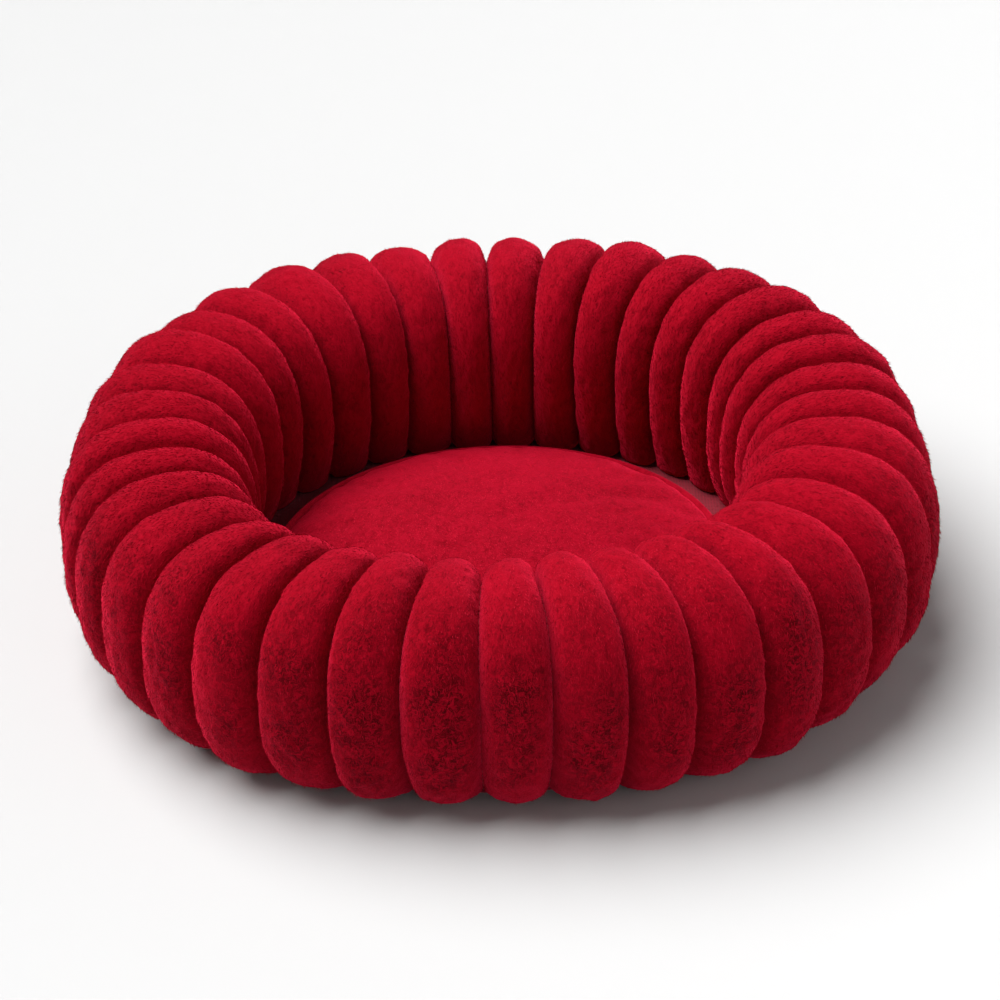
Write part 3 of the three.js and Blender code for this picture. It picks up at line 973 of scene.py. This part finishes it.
def inflateCushion(made, seamRing):
    count = cushion["around"]
    held = made.vertex_groups.new(name="seam")
    held.add(list(range(seamRing * count, (seamRing + 1) * count)), 1.0, "REPLACE")
    start = np.array([v.co[:] for v in made.data.vertices])
    for vertex in made.data.vertices:
        vertex.co.z += 0.0015 * smoothNoise(vertex.co, 0.022, 5.0)
    cloth = made.modifiers.new("inflate", "CLOTH")
    settings = cloth.settings
    settings.quality = 6
    settings.mass = 0.3
    settings.tension_stiffness = 15.0
    settings.compression_stiffness = 15.0
    settings.bending_stiffness = 0.5
    settings.use_pressure = True
    settings.uniform_pressure_force = 4.0
    settings.vertex_group_mass = "seam"
    settings.effector_weights.gravity = 0.0
    cloth.collision_settings.use_collision = False
    cloth.point_cache.frame_start = 1
    cloth.point_cache.frame_end = 20
    for step in range(1, 21):
        scene.frame_set(step)
    ready = made.evaluated_get(bpy.context.evaluated_depsgraph_get())
    ended = np.array([v.co[:] for v in ready.data.vertices])
    made.modifiers.clear()
    move = ended - start
    size = np.linalg.norm(move, axis=1, keepdims=True)
    ended = start + move * np.minimum(1, cushion["mostMove"] / np.maximum(size, 1e-9))
    scene.frame_set(1)
    made.data.vertices.foreach_set("co", ended.ravel())
    print("cushion inflated, moved up to", round(float(size.max()) * 1000, 1), "mm")


def makeCushion():
    rings = cushionRings()
    made = ringsBody("cushionPad", rings)
    inflateCushion(made, cushion["rings"] - 1)
    finer = made.modifiers.new("finer", "SUBSURF")
    finer.levels = finer.render_levels = 1
    applyModifiers(made)
    # the rim is drawn out to the piping that it's sewn to
    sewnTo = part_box("cushion_piping")[1].x - 2 * piping["tube"] + 0.0006
    rim = max(v.co.xy.length for v in made.data.vertices)
    print("cushion rim drawn out by", round((sewnTo - rim) * 1000, 2), "mm")
    for vertex in made.data.vertices:
        stretch = 1 + (sewnTo / rim - 1) * easeIn(vertex.co.xy.length / rim - 0.6, 0.4)
        vertex.co.x *= stretch
        vertex.co.y *= stretch
    reach = cushion["radius"] * 0.28
    nearPole = {}
    for side in (-1, 1):
        ring = [v.co.z for v in made.data.vertices
                if 0.8 < v.co.xy.length / reach < 1.1 and side * (v.co.z - cushion["seamHeight"]) > 0]
        nearPole[side] = sum(ring) / len(ring)
    for vertex in made.data.vertices:
        x, y, z = vertex.co
        r, turn = math.hypot(x, y), math.atan2(y, x)
        calm = easeIn(r, reach)
        z = z * calm + nearPole[1 if z > cushion["seamHeight"] else -1] * (1 - calm)
        near = easeIn(r / cushion["radius"] - 0.62, 0.38)
        fold = math.sin(cushion["puckers"] * turn + 2.5 * smoothNoise((x, y, z), 0.06, 2.0))
        side = 1 if z > cushion["seamHeight"] else -1
        lift = fold * cushion["puckerDepth"] * near * (0.5 + smoothNoise((x, y, 0), 0.05, 7.0))
        lift += 0.0012 * smoothNoise((x, y, z), 0.045, 6.0) * (1 - near)
        vertex.co.z = min(max(z + side * lift, cushion["bottom"]), cushion["top"] + 0.004)
    made.data.update()
    layFlat(made)
    stoodFor = ("cushion_top_cover", "cushion_bottom_cover", "cushion_filling")
    finishPiece(made, cushionPlush, "cushion_plush", "cushion", *stoodFor)
    return made


# The cushion's top as an open grid, to plant the pile on
def cushionPile(pad):
    rows = []
    surface = BVHTree.FromPolygons([v.co for v in pad.data.vertices], [p.vertices for p in pad.data.polygons])
    shares = np.linspace(0.01, 0.985, 40)
    turns = np.linspace(0, 2 * math.pi, 161)
    for share in shares:
        line = []
        for turn in turns:
            r = share * cushion["radius"]
            above = Vector((r * math.cos(turn), r * math.sin(turn), 1))
            found = surface.ray_cast(above, Vector((0, 0, -1)))[0]
            if found is None:
                above.z = cushion["seamHeight"] + 0.002
                found = surface.find_nearest(above)[0]
            line.append(tuple(found))
        rows.append(line)
    grid = np.array(rows)[:, ::-1]
    flow = np.zeros_like(grid)
    flow[:, :, 1] = -0.9
    flow[:, :, 0] = 0.25
    even, calm = np.ones(grid.shape[:2]), np.zeros(grid.shape[:2])
    made = growPile("cushionPile", [grid], [flow], [even], [calm], 90)
    finishPiece(made, None, "cushion_plush", "cushion")


# A tube along a circle, with a slow waver
def pipingTree():
    tree, given, result = newTree("piping", {
        "Radius": 0.157,
        "Tube": 0.0033,
        "Around": 14,
        "Waver": 0.0006,
        "Material": None,
    })
    link = tree.links.new
    path = tree.nodes.new("GeometryNodeCurvePrimitiveCircle")
    path.inputs["Resolution"].default_value = 260
    link(given["Radius"], path.inputs["Radius"])
    ripple = addNode(tree, "ShaderNodeTexNoise", Scale=16.0, Detail=1.0)
    shift = vectorNode(tree, "SUBTRACT", ripple.outputs["Color"], (0.5, 0.5, 0.5))
    move = tree.nodes.new("GeometryNodeSetPosition")
    link(path.outputs[0], move.inputs["Geometry"])
    link(vectorNode(tree, "SCALE", shift, given["Waver"]), move.inputs["Offset"])
    section = tree.nodes.new("GeometryNodeCurvePrimitiveCircle")
    link(given["Around"], section.inputs["Resolution"])
    link(given["Tube"], section.inputs["Radius"])
    tube = tree.nodes.new("GeometryNodeCurveToMesh")
    link(move.outputs[0], tube.inputs["Curve"])
    link(section.outputs[0], tube.inputs["Profile Curve"])
    return closeTree(tree, tube.outputs[0], given, result)


def makePiping():
    low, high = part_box("cushion_piping")
    made = meshObject("cushionPiping", [(0, 0, 0)], [])
    growNodes(made, pipingTree(), {
        "Radius": high.x - piping["tube"] - 0.0006,
        "Tube": piping["tube"],
        "Around": piping["around"],
        "Material": cushionPlush,
    })
    made.data.transform(Matrix.Translation((0, 0, (low.z + high.z) / 2)))
    faceOutward(made)
    smoothFaces(made)
    layFlat(made)
    finishPiece(made, None, "cushion_plush", "cushion", "cushion_piping")
    return made


cushionLook = {**plushLook, "body": (0.235, 0.0003, 0.008), "tip": (0.30, 0.0008, 0.012)}
cushionPlush = plushMaterial("cushionPlush", cushionLook)
pad = makeCushion()
cushionPile(pad)
makePiping()
print("cushion finished")


# Stitches: short rounded threads along lines of points
def stitchTree():
    tree, given, result = newTree("stitches", {
        "Spacing": 0.005,
        "Length": 0.0036,
        "Thread": 0.0004,
        "Material": None,
    })
    link = tree.links.new
    path = tree.nodes.new("GeometryNodeMeshToCurve")
    link(given["Geometry"], path.inputs["Mesh"])
    even = tree.nodes.new("GeometryNodeResampleCurve")
    even.mode = "LENGTH"
    link(path.outputs[0], even.inputs["Curve"])
    link(given["Spacing"], even.inputs["Length"])
    thread = tree.nodes.new("GeometryNodeMeshUVSphere")
    thread.inputs["Segments"].default_value = 6
    thread.inputs["Rings"].default_value = 4
    thread.inputs["Radius"].default_value = 0.5
    size = tree.nodes.new("ShaderNodeCombineXYZ")
    link(given["Thread"], size.inputs[0])
    link(given["Thread"], size.inputs[1])
    link(given["Length"], size.inputs[2])
    along = tree.nodes.new("GeometryNodeInputTangent")
    turn = tree.nodes.new("FunctionNodeAlignRotationToVector")
    turn.axis = "Z"
    link(along.outputs[0], turn.inputs["Vector"])
    plant = tree.nodes.new("GeometryNodeInstanceOnPoints")
    link(even.outputs[0], plant.inputs["Points"])
    link(thread.outputs["Mesh"], plant.inputs["Instance"])
    link(turn.outputs[0], plant.inputs["Rotation"])
    link(size.outputs[0], plant.inputs["Scale"])
    return closeTree(tree, plant.outputs[0], given, result)


stitchNodes = stitchTree()


def threadMaterial(name, colour):
    material, tree, shader = newMaterial(name)
    shader.inputs["Base Color"].default_value = (*colour, 1)
    shader.inputs["Roughness"].default_value = 0.6
    shader.inputs["Specular IOR Level"].default_value = 0.3
    shader.inputs["Sheen Weight"].default_value = 0.2
    return material


def sewLines(name, lines, kind, colour, slot, body):
    spacing, length, thread = stitching[kind]
    points, edges = [], []
    for line in lines:
        first = len(points)
        points += [tuple(p) for p in line]
        edges += [(first + i, first + i + 1) for i in range(len(line) - 1)]
    mesh = bpy.data.meshes.new(name)
    mesh.from_pydata(points, edges, [])
    made = bpy.data.objects.new(name, mesh)
    scene.collection.objects.link(made)
    values = {"Spacing": spacing, "Length": length, "Thread": thread * 2, "Material": colour}
    growNodes(made, stitchNodes, values)
    smoothFaces(made)
    return finishPiece(made, None, slot, body)


# Spacing, length and thread radius of each kind of stitch
stitching = {
    "seam": (0.0062, 0.0046, 0.0004),
    "quilt": (0.0048, 0.0036, 0.0003),
    "edge": (0.0045, 0.0033, 0.0003),
    "label": (0.0026, 0.0019, 0.00018),
}
redThread = threadMaterial("redThread", (0.30, 0.004, 0.018))
paleThread = threadMaterial("paleThread", (0.62, 0.58, 0.52))
seamRuns = [seamLine(k, 1.02) for k in range(ribCount)]
sewLines("seamStitches", seamRuns, "seam", redThread, "plush", "bed")


# Under the ribs: lining tube and fibre filling
def fibreMaterial():
    material, tree, shader = newMaterial("fibreFill")
    link = tree.links.new
    place = addNode(tree, "ShaderNodeTexCoord")
    tangle = addNode(tree, "ShaderNodeTexNoise", Scale=90.0, Detail=6.0, Roughness=0.75, Distortion=1.5)
    link(place.outputs["Object"], tangle.inputs["Vector"])
    stops = [(0.3, (0.62, 0.60, 0.56)), (0.7, (0.88, 0.87, 0.84))]
    link(ramp(tree, tangle.outputs["Fac"], stops), shader.inputs["Base Color"])
    bump = addNode(tree, "ShaderNodeBump", Strength=0.6, Distance=0.004)
    link(tangle.outputs["Fac"], bump.inputs["Height"])
    link(bump.outputs[0], shader.inputs["Normal"])
    shader.inputs["Roughness"].default_value = 0.95
    shader.inputs["Sheen Weight"].default_value = 0.2
    return material


def lumpyCopy(name, node, material, slot, lump, scale, inset=0.0):
    made = nodeCopy(name, node)
    finer = made.modifiers.new("finer", "SUBSURF")
    finer.subdivision_type = "SIMPLE"
    finer.levels = finer.render_levels = 1
    applyModifiers(made)
    made.data.update()
    normals = [v.normal.copy() for v in made.data.vertices]
    for vertex, normal in zip(made.data.vertices, normals):
        x, y, z = vertex.co
        core = Vector((x, y, 0)).normalized() * wallRadius + Vector((0, 0, halfHeight))
        inward = (core - vertex.co).normalized() * inset
        much = 0.5 + 0.5 * smoothNoise(vertex.co, scale, 3.0)
        vertex.co += inward - normal * lump * much
        if inset:
            wide = float(planScale(math.atan2(y, x), math.hypot(x, y), z))
            vertex.co.x *= wide
            vertex.co.y *= wide
    return finishPiece(made, material, slot, "bed", node)


liningCloth = wovenMaterial("liningCloth", (0.09, 0.006, 0.012), (0.18, 0.014, 0.026))
fibreFill = fibreMaterial()
ringFill = lumpyCopy("wallFilling", "bolster_filling", fibreFill, "fibre", 0.0022, 0.03, wall["lower"])
lumpyCopy("baseWadding", "base_wadding", fibreFill, "fibre", 0.0008, 0.02)
lumpyCopy("wallLining", "bolster_lining", liningCloth, "lining", 0.0002, 0.02, wall["lower"])
print("lining and filling made")


# Base: top cloth, bottom cloth with grip dots, binding
base = {
    "dotSpacing": 0.0125,
    "dotRadius": 0.0021,
    "dotHeight": 0.0006,
    "quiltSpacing": 0.045,
}


def baseDisc(name, low, high, radius, relief):
    rings = []
    count = 180
    steps = list(np.linspace(0.012, 0.994, 34))
    for share in steps:
        rings.append(circlePoints(radius * share, low, count))
    for share in [1.0] + steps[::-1]:
        ring = circlePoints(radius * share, high, count)
        for p in ring:
            p[2] -= relief(p[0], p[1]) if share < 1 else (high - low) * 0.4
        rings.append(ring)
    return faceOutward(ringsBody(name, rings))


def makeBaseTop():
    low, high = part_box("base_top_lining")
    radius = high.y

    def quilt(x, y):
        one = abs(math.sin(math.pi * (x + y) / base["quiltSpacing"] / 1.414))
        other = abs(math.sin(math.pi * (x - y) / base["quiltSpacing"] / 1.414))
        return 0.0006 * (1 - (one * other) ** 0.35) + 0.0001 * smoothNoise((x, y, 0), 0.02, 3.0)

    made = baseDisc("baseTopLining", low.z, high.z, radius, quilt)
    finishPiece(made, baseLiningCloth, "lining", "bed", "base_top_lining")
    lines = []
    for direction in (1, -1):
        for n in range(-7, 8):
            offset = n * base["quiltSpacing"]
            half = math.sqrt(max(0.0, (radius * 0.97) ** 2 - offset**2))
            if half > 0.02:
                t = np.linspace(-half, half, 40)
                x = (t + offset) / math.sqrt(2)
                y = direction * (t - offset) / math.sqrt(2)
                lines.append(np.stack([x, y, np.full(40, high.z - 0.0004)], 1))
    sewLines("baseQuiltStitches", lines, "quilt", redThread, "lining", "bed")


def makeBaseCloth():
    for end in ("front", "rear"):
        node = "base_cloth_" + end
        made = nodeCopy("baseCloth" + end.capitalize(), node)
        low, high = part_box(node)
        for vertex in made.data.vertices:
            if vertex.co.z < (low.z + high.z) / 2:
                vertex.co.z = low.z + base["dotHeight"]
        finishPiece(made, gripCloth, "base_cloth", "bed", node)


# Rubber dots in staggered rows over the underside
def dotTree():
    tree, given, result = newTree("gripDots", {"Radius": 0.002, "Height": 0.0006, "Material": None})
    link = tree.links.new
    dot = tree.nodes.new("GeometryNodeMeshUVSphere")
    dot.inputs["Segments"].default_value = 8
    dot.inputs["Rings"].default_value = 4
    dot.inputs["Radius"].default_value = 1.0
    size = tree.nodes.new("ShaderNodeCombineXYZ")
    link(given["Radius"], size.inputs[0])
    link(given["Radius"], size.inputs[1])
    link(given["Height"], size.inputs[2])
    plant = tree.nodes.new("GeometryNodeInstanceOnPoints")
    link(given["Geometry"], plant.inputs["Points"])
    link(dot.outputs["Mesh"], plant.inputs["Instance"])
    link(size.outputs[0], plant.inputs["Scale"])
    return closeTree(tree, plant.outputs[0], given, result)


def makeGripDots():
    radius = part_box("base_cloth_rear")[1].y - 0.008
    step = base["dotSpacing"]
    count = int(radius / step) + 1
    spots = []
    for row in range(-count, count + 1):
        for col in range(-count, count + 1):
            x, y = (col + 0.5 * (row % 2)) * step, row * step * 0.866
            inSlit = abs(y) < 0.009 and abs(x) < 0.182
            if math.hypot(x, y) < radius and not inSlit:
                spots.append((x, y, base["dotHeight"]))
    made = meshObject("gripDots", spots, [])
    values = {"Radius": base["dotRadius"], "Height": base["dotHeight"], "Material": gripRubber}
    growNodes(made, dotTree(), values)
    smoothFaces(made)
    finishPiece(made, None, "base_cloth", "bed")


def makeBinding():
    low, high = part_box("base_binding")
    inner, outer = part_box("base_top_lining")[1].y + 0.0003, high.y
    count = 360
    middle = (inner + outer) / 2
    section = []
    for n in range(20):
        turn = 2 * math.pi * n / 20
        across = (outer - inner) / 2 * np.sign(math.cos(turn)) * abs(math.cos(turn)) ** 0.5
        up = (high.z - low.z) / 2 * np.sign(math.sin(turn)) * abs(math.sin(turn)) ** 0.35
        section.append((across, up))
    points, faces = [], []
    for i in range(count):
        turn = 2 * math.pi * i / count
        for across, up in section:
            ruck = 0.00025 * smoothNoise((math.cos(turn) * 0.24, math.sin(turn) * 0.24, up), 0.006, 2.0)
            radius = middle + across + (ruck if across > 0 else 0) - 0.0001
            points.append((radius * math.cos(turn), radius * math.sin(turn), (low.z + high.z) / 2 + up))
    for i in range(count):
        for n in range(20):
            i2, n2 = (i + 1) % count, (n + 1) % 20
            faces.append((i * 20 + n, i2 * 20 + n, i2 * 20 + n2, i * 20 + n2))
    made = faceOutward(meshObject("baseBinding", points, faces))
    finishPiece(made, bindingTape, "binding", "bed", "base_binding")
    sewn = circlePoints(outer + 0.0001, high.z - 0.003, 400)
    sewn = np.concatenate([sewn, sewn[:1]])
    sewLines("bindingStitches", [sewn], "edge", redThread, "binding", "bed")


baseLiningCloth = wovenMaterial("baseLiningCloth", (0.16, 0.002, 0.010), (0.26, 0.006, 0.022), sheen=0.15)
gripCloth = wovenMaterial("gripCloth", (0.030, 0.006, 0.009), (0.075, 0.012, 0.018))
bindingTape = wovenMaterial("bindingTape", (0.17, 0.0, 0.010), (0.32, 0.003, 0.022), sheen=0.2)
gripRubber = threadMaterial("gripRubber", (0.02, 0.02, 0.022))
makeBaseTop()
makeBaseCloth()
makeGripDots()
makeBinding()
print("base made")


# Zip
zipSizes = {
    "pitch": 0.0025,
    "thread": 0.0004,
}


# Coil teeth: one bent loop, repeated along the tape's edge
def toothTree():
    tree, given, result = newTree("zipCoil", {
        "Tooth": 0.0017,
        "Thread": 0.0004,
        "Height": 0.0009,
        "Material": None,
    })
    link = tree.links.new
    loop = tree.nodes.new("GeometryNodeCurvePrimitiveCircle")
    loop.inputs["Resolution"].default_value = 10
    loop.inputs["Radius"].default_value = 1.0
    shape = tree.nodes.new("ShaderNodeCombineXYZ")
    shape.inputs[0].default_value = 1.0
    link(given["Tooth"], shape.inputs[0])
    link(given["Height"], shape.inputs[1])
    shape.inputs[2].default_value = 1.0
    flat = tree.nodes.new("GeometryNodeTransform")
    link(loop.outputs[0], flat.inputs["Geometry"])
    link(shape.outputs[0], flat.inputs["Scale"])
    section = tree.nodes.new("GeometryNodeCurvePrimitiveCircle")
    section.inputs["Resolution"].default_value = 6
    link(given["Thread"], section.inputs["Radius"])
    wire = tree.nodes.new("GeometryNodeCurveToMesh")
    link(flat.outputs[0], wire.inputs["Curve"])
    link(section.outputs[0], wire.inputs["Profile Curve"])
    stand = tree.nodes.new("GeometryNodeTransform")
    link(wire.outputs[0], stand.inputs["Geometry"])
    stand.inputs["Rotation"].default_value = (math.pi / 2, 0, math.pi / 2)
    plant = tree.nodes.new("GeometryNodeInstanceOnPoints")
    link(given["Geometry"], plant.inputs["Points"])
    link(stand.outputs[0], plant.inputs["Instance"])
    return closeTree(tree, plant.outputs[0], given, result)


def makeZip():
    teeth = toothTree()
    for end, side in (("front", -1), ("rear", 1)):
        low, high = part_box("zip_teeth_" + end)
        middle = (low.y + high.y) / 2
        count = int((high.x - low.x - 0.002) / zipSizes["pitch"])
        shift = zipSizes["pitch"] * (0.25 if side > 0 else -0.25)
        level = (low.z + high.z) / 2
        places = [low.x + 0.001 + shift + (n + 0.5) * zipSizes["pitch"] for n in range(count)]
        spots = [(x, middle, level) for x in places]
        made = meshObject("zipCoil" + end.capitalize(), spots, [])
        growNodes(made, teeth, {
            "Tooth": (high.y - low.y) / 2 - zipSizes["thread"],
            "Thread": zipSizes["thread"],
            "Height": (high.z - low.z) / 2 - zipSizes["thread"],
            "Material": coilNylon,
        })
        faceOutward(made)
        smoothFaces(made)
        finishPiece(made, None, "zip_teeth", "bed", "zip_teeth_" + end)
        makeTape(end)


def makeTape(end):
    low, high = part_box("zip_tape_" + end)
    rows, cols = 160, 8
    points, faces = [], []
    for i in range(rows + 1):
        x = low.x + (high.x - low.x) * i / rows
        for j in range(cols + 1):
            y = low.y + (high.y - low.y) * j / cols
            ruck = 0.00012 * smoothNoise((x, y, 0), 0.012, 4.0)
            points.append((x, y, high.z - 0.00015 + ruck))
    for i in range(rows):
        for j in range(cols):
            at = i * (cols + 1) + j
            faces.append((at, at + cols + 1, at + cols + 2, at + 1))
    made = meshObject("zipTape" + end.capitalize(), points, faces)
    wall = made.modifiers.new("thickness", "SOLIDIFY")
    wall.thickness = (high.z - low.z) * 0.7
    wall.offset = -1
    applyModifiers(made)
    finishPiece(made, tapeCloth, "zip_tape", "bed", "zip_tape_" + end)
    edge = low.y + 0.003 if end == "front" else high.y - 0.003
    sewn = np.array([(x, edge, low.z - 0.0001 + 0.00015) for x in np.linspace(low.x, high.x, 60)])
    name = "tapeStitches" + end.capitalize()
    sewLines(name, [sewn], "edge", redThread, "zip_tape", "bed")


def metalMaterial(name, dark, light):
    material, tree, shader = newMaterial(name)
    link = tree.links.new
    place = addNode(tree, "ShaderNodeTexCoord")
    lay = addNode(tree, "ShaderNodeMapping")
    lay.inputs["Scale"].default_value = (60.0, 900.0, 900.0)
    link(place.outputs["Object"], lay.inputs["Vector"])
    brushed = addNode(tree, "ShaderNodeTexNoise", Scale=1.0, Detail=3.0, Roughness=0.6)
    link(lay.outputs[0], brushed.inputs["Vector"])
    link(ramp(tree, brushed.outputs["Fac"], [(0.3, dark), (0.7, light)]), shader.inputs["Base Color"])
    rough = addNode(tree, "ShaderNodeMapRange")
    rough.inputs["To Min"].default_value = 0.24
    rough.inputs["To Max"].default_value = 0.42
    link(brushed.outputs["Fac"], rough.inputs["Value"])
    link(rough.outputs[0], shader.inputs["Roughness"])
    shader.inputs["Metallic"].default_value = 1.0
    return material


def roundedCopy(name, node, width, material, slot, body):
    made = nodeCopy(name, node)
    bpy.context.view_layer.objects.active = made
    dissolve = made.modifiers.new("flats", "DECIMATE")
    dissolve.decimate_type = "DISSOLVE"
    dissolve.angle_limit = math.radians(2)
    edge = made.modifiers.new("edges", "BEVEL")
    edge.width = width
    edge.segments = 3
    edge.limit_method = "ANGLE"
    edge.angle_limit = math.radians(28)
    edge.use_clamp_overlap = True
    applyModifiers(made)
    return finishPiece(made, material, slot, body, node)


zincMetal = metalMaterial("zincMetal", (0.36, 0.36, 0.37), (0.52, 0.52, 0.54))
coilNylon = threadMaterial("coilNylon", (0.16, 0.003, 0.012))
tapeLook = {"threads": 1600.0, "bump": 0.3}
tapeCloth = wovenMaterial("tapeCloth", (0.06, 0.003, 0.008), (0.12, 0.008, 0.016), look=tapeLook)
makeZip()
roundedCopy("zipTopStop", "zip_top_stop", 0.0003, zincMetal, "zip_metal", "bed")
roundedCopy("zipBottomStop", "zip_bottom_stop", 0.0003, zincMetal, "zip_metal", "bed")
roundedCopy("zipSlider", "zip_slider", 0.00022, zincMetal, "zip_metal", "slider")
roundedCopy("zipPull", "zip_pull", 0.00018, zincMetal, "zip_metal", "pull")
print("zip made")


# Blank care label, sewn in under the rim
def satinMaterial():
    material, tree, shader = newMaterial("labelSatin")
    link = tree.links.new
    place = addNode(tree, "ShaderNodeTexCoord")
    weave = addNode(tree, "ShaderNodeTexWave", bands_direction="DIAGONAL", Scale=700.0)
    weave.inputs["Distortion"].default_value = 0.4
    link(place.outputs["Object"], weave.inputs["Vector"])
    wear = addNode(tree, "ShaderNodeTexNoise", Scale=60.0, Detail=3.0)
    link(place.outputs["Object"], wear.inputs["Vector"])
    mixed = addNode(tree, "ShaderNodeMix", data_type="FLOAT")
    mixed.inputs[0].default_value = 0.6
    link(weave.outputs["Fac"], mixed.inputs[2])
    link(wear.outputs["Fac"], mixed.inputs[3])
    stops = [(0.2, (0.70, 0.67, 0.61)), (0.7, (0.86, 0.84, 0.79))]
    link(ramp(tree, mixed.outputs[0], stops), shader.inputs["Base Color"])
    bump = addNode(tree, "ShaderNodeBump", Strength=0.15, Distance=0.0003)
    link(weave.outputs["Fac"], bump.inputs["Height"])
    link(bump.outputs[0], shader.inputs["Normal"])
    shader.inputs["Roughness"].default_value = 0.42
    shader.inputs["Sheen Weight"].default_value = 0.3
    return material


def makeLabel():
    points = nodePoints("care_label")
    middle = points.mean(axis=0)
    turn = math.atan2(middle[1], middle[0])
    out = np.array([math.cos(turn), math.sin(turn), 0])
    side = np.array([-out[1], out[0], 0])
    reach = (points - middle) @ out
    width = (points - middle) @ side
    low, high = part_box("care_label")
    rows, cols = 40, 24
    grid, faces = [], []
    for i in range(rows + 1):
        along = reach.min() + (reach.max() - reach.min()) * i / rows
        for j in range(cols + 1):
            across = width.min() + (width.max() - width.min()) * j / cols
            wave = 0.0006 * easeIn(i / rows, 1.0) * (1 + math.sin(3.2 * i / rows + 1.5 * j / cols))
            p = middle + out * along + side * across
            grid.append((p[0], p[1], high.z - 0.00012 + wave))
    for i in range(rows):
        for j in range(cols):
            at = i * (cols + 1) + j
            faces.append((at, at + cols + 1, at + cols + 2, at + 1))
    made = meshObject("careLabel", grid, faces)
    wall = made.modifiers.new("thickness", "SOLIDIFY")
    wall.thickness = 0.00035
    wall.offset = -1
    applyModifiers(made)
    finishPiece(made, satinMaterial(), "label", "bed", "care_label")
    sizeOut, sizeSide = reach.max() - reach.min(), width.max() - width.min()
    hem = []
    for place in (0.06, 0.94):
        along = reach.min() + sizeOut * place
        rise = 0.0006 * easeIn(place, 1.0)
        wave = [rise * (1 + math.sin(3.2 * place + 1.5 * (j / cols))) for j in range(cols + 1)]
        line = []
        for j in range(1, cols):
            p = middle + out * along + side * (width.min() + sizeSide * j / cols)
            line.append((p[0], p[1], high.z + wave[j] - 0.00005))
        hem.append(np.array(line))
    sewLines("labelStitches", hem, "label", paleThread, "label", "bed")


makeLabel()
print("label made")


# Floor, light and camera
stage = {"floor": 5.0, "cove": 2.5, "wall": 6.0, "shade": 0.50}


# A pale round floor that curves up into a far wall
def makeStage():
    material, tree, shader = newMaterial("paleFloor")
    shader.inputs["Base Color"].default_value = (stage["shade"], stage["shade"], stage["shade"], 1)
    shader.inputs["Roughness"].default_value = 0.9
    shader.inputs["Specular IOR Level"].default_value = 0.1
    bends = np.linspace(0, math.pi / 2, 16)
    outline = [(stage["floor"] * share, 0.0) for share in (0.05, 0.3, 0.6)]
    for bend in bends:
        reach = stage["floor"] + stage["cove"] * math.sin(bend)
        outline.append((reach, stage["cove"] * (1 - math.cos(bend))))
    outline.append((stage["floor"] + stage["cove"], stage["wall"]))
    rings = [circlePoints(r, z, 96) for r, z in outline]
    points = [p for ring in rings for p in ring] + [(0, 0, 0)]
    faces = [(len(points) - 1, j, (j + 1) % 96) for j in range(96)]
    for i in range(len(rings) - 1):
        for j in range(96):
            after = (j + 1) % 96
            faces.append((i * 96 + j, (i + 1) * 96 + j, (i + 1) * 96 + after, i * 96 + after))
    floor = meshObject("floor", points, faces)
    floor.data.materials.append(material)


lighting = {
    "from": (-0.64, 0.24, 1.0),
    "strength": 7.7,
    "softness": 66.0,  # degrees across
    "sky": 0.13,
}


def makeLights():
    lamp = bpy.data.lights.new("overhead", "SUN")
    lamp.energy = lighting["strength"]
    lamp.angle = math.radians(lighting["softness"])
    lit = bpy.data.objects.new("overhead", lamp)
    lit.location = Vector(lighting["from"]) * 3
    lit.rotation_euler = (-Vector(lighting["from"])).to_track_quat("-Z", "Y").to_euler()
    scene.collection.objects.link(lit)
    world = bpy.data.worlds.new("studio")
    scene.world = world
    world.use_nodes = True
    world.node_tree.nodes["Background"].inputs[0].default_value = (0.97, 0.97, 0.97, 1)
    world.node_tree.nodes["Background"].inputs[1].default_value = lighting["sky"]


view = {"distance": 2.5, "elevation": 29.7, "roll": -1.5, "lens": 131.0, "aim": (0.001, 0.0, 0.077)}


def makeCamera():
    rise = math.radians(view["elevation"])
    back = Vector((0, -math.cos(rise), math.sin(rise)))
    camera = bpy.data.cameras.new("camera")
    camera.lens = view["lens"]
    camera.sensor_width = 36.0
    made = bpy.data.objects.new("camera", camera)
    made.location = Vector(view["aim"]) + back * view["distance"]
    roll = Matrix.Rotation(math.radians(view["roll"]), 3, "Z")
    turned = (-back).to_track_quat("-Z", "Y").to_matrix() @ roll
    made.rotation_euler = turned.to_euler()
    scene.collection.objects.link(made)
    scene.camera = made


makeStage()
makeLights()
makeCamera()
print("stage set")
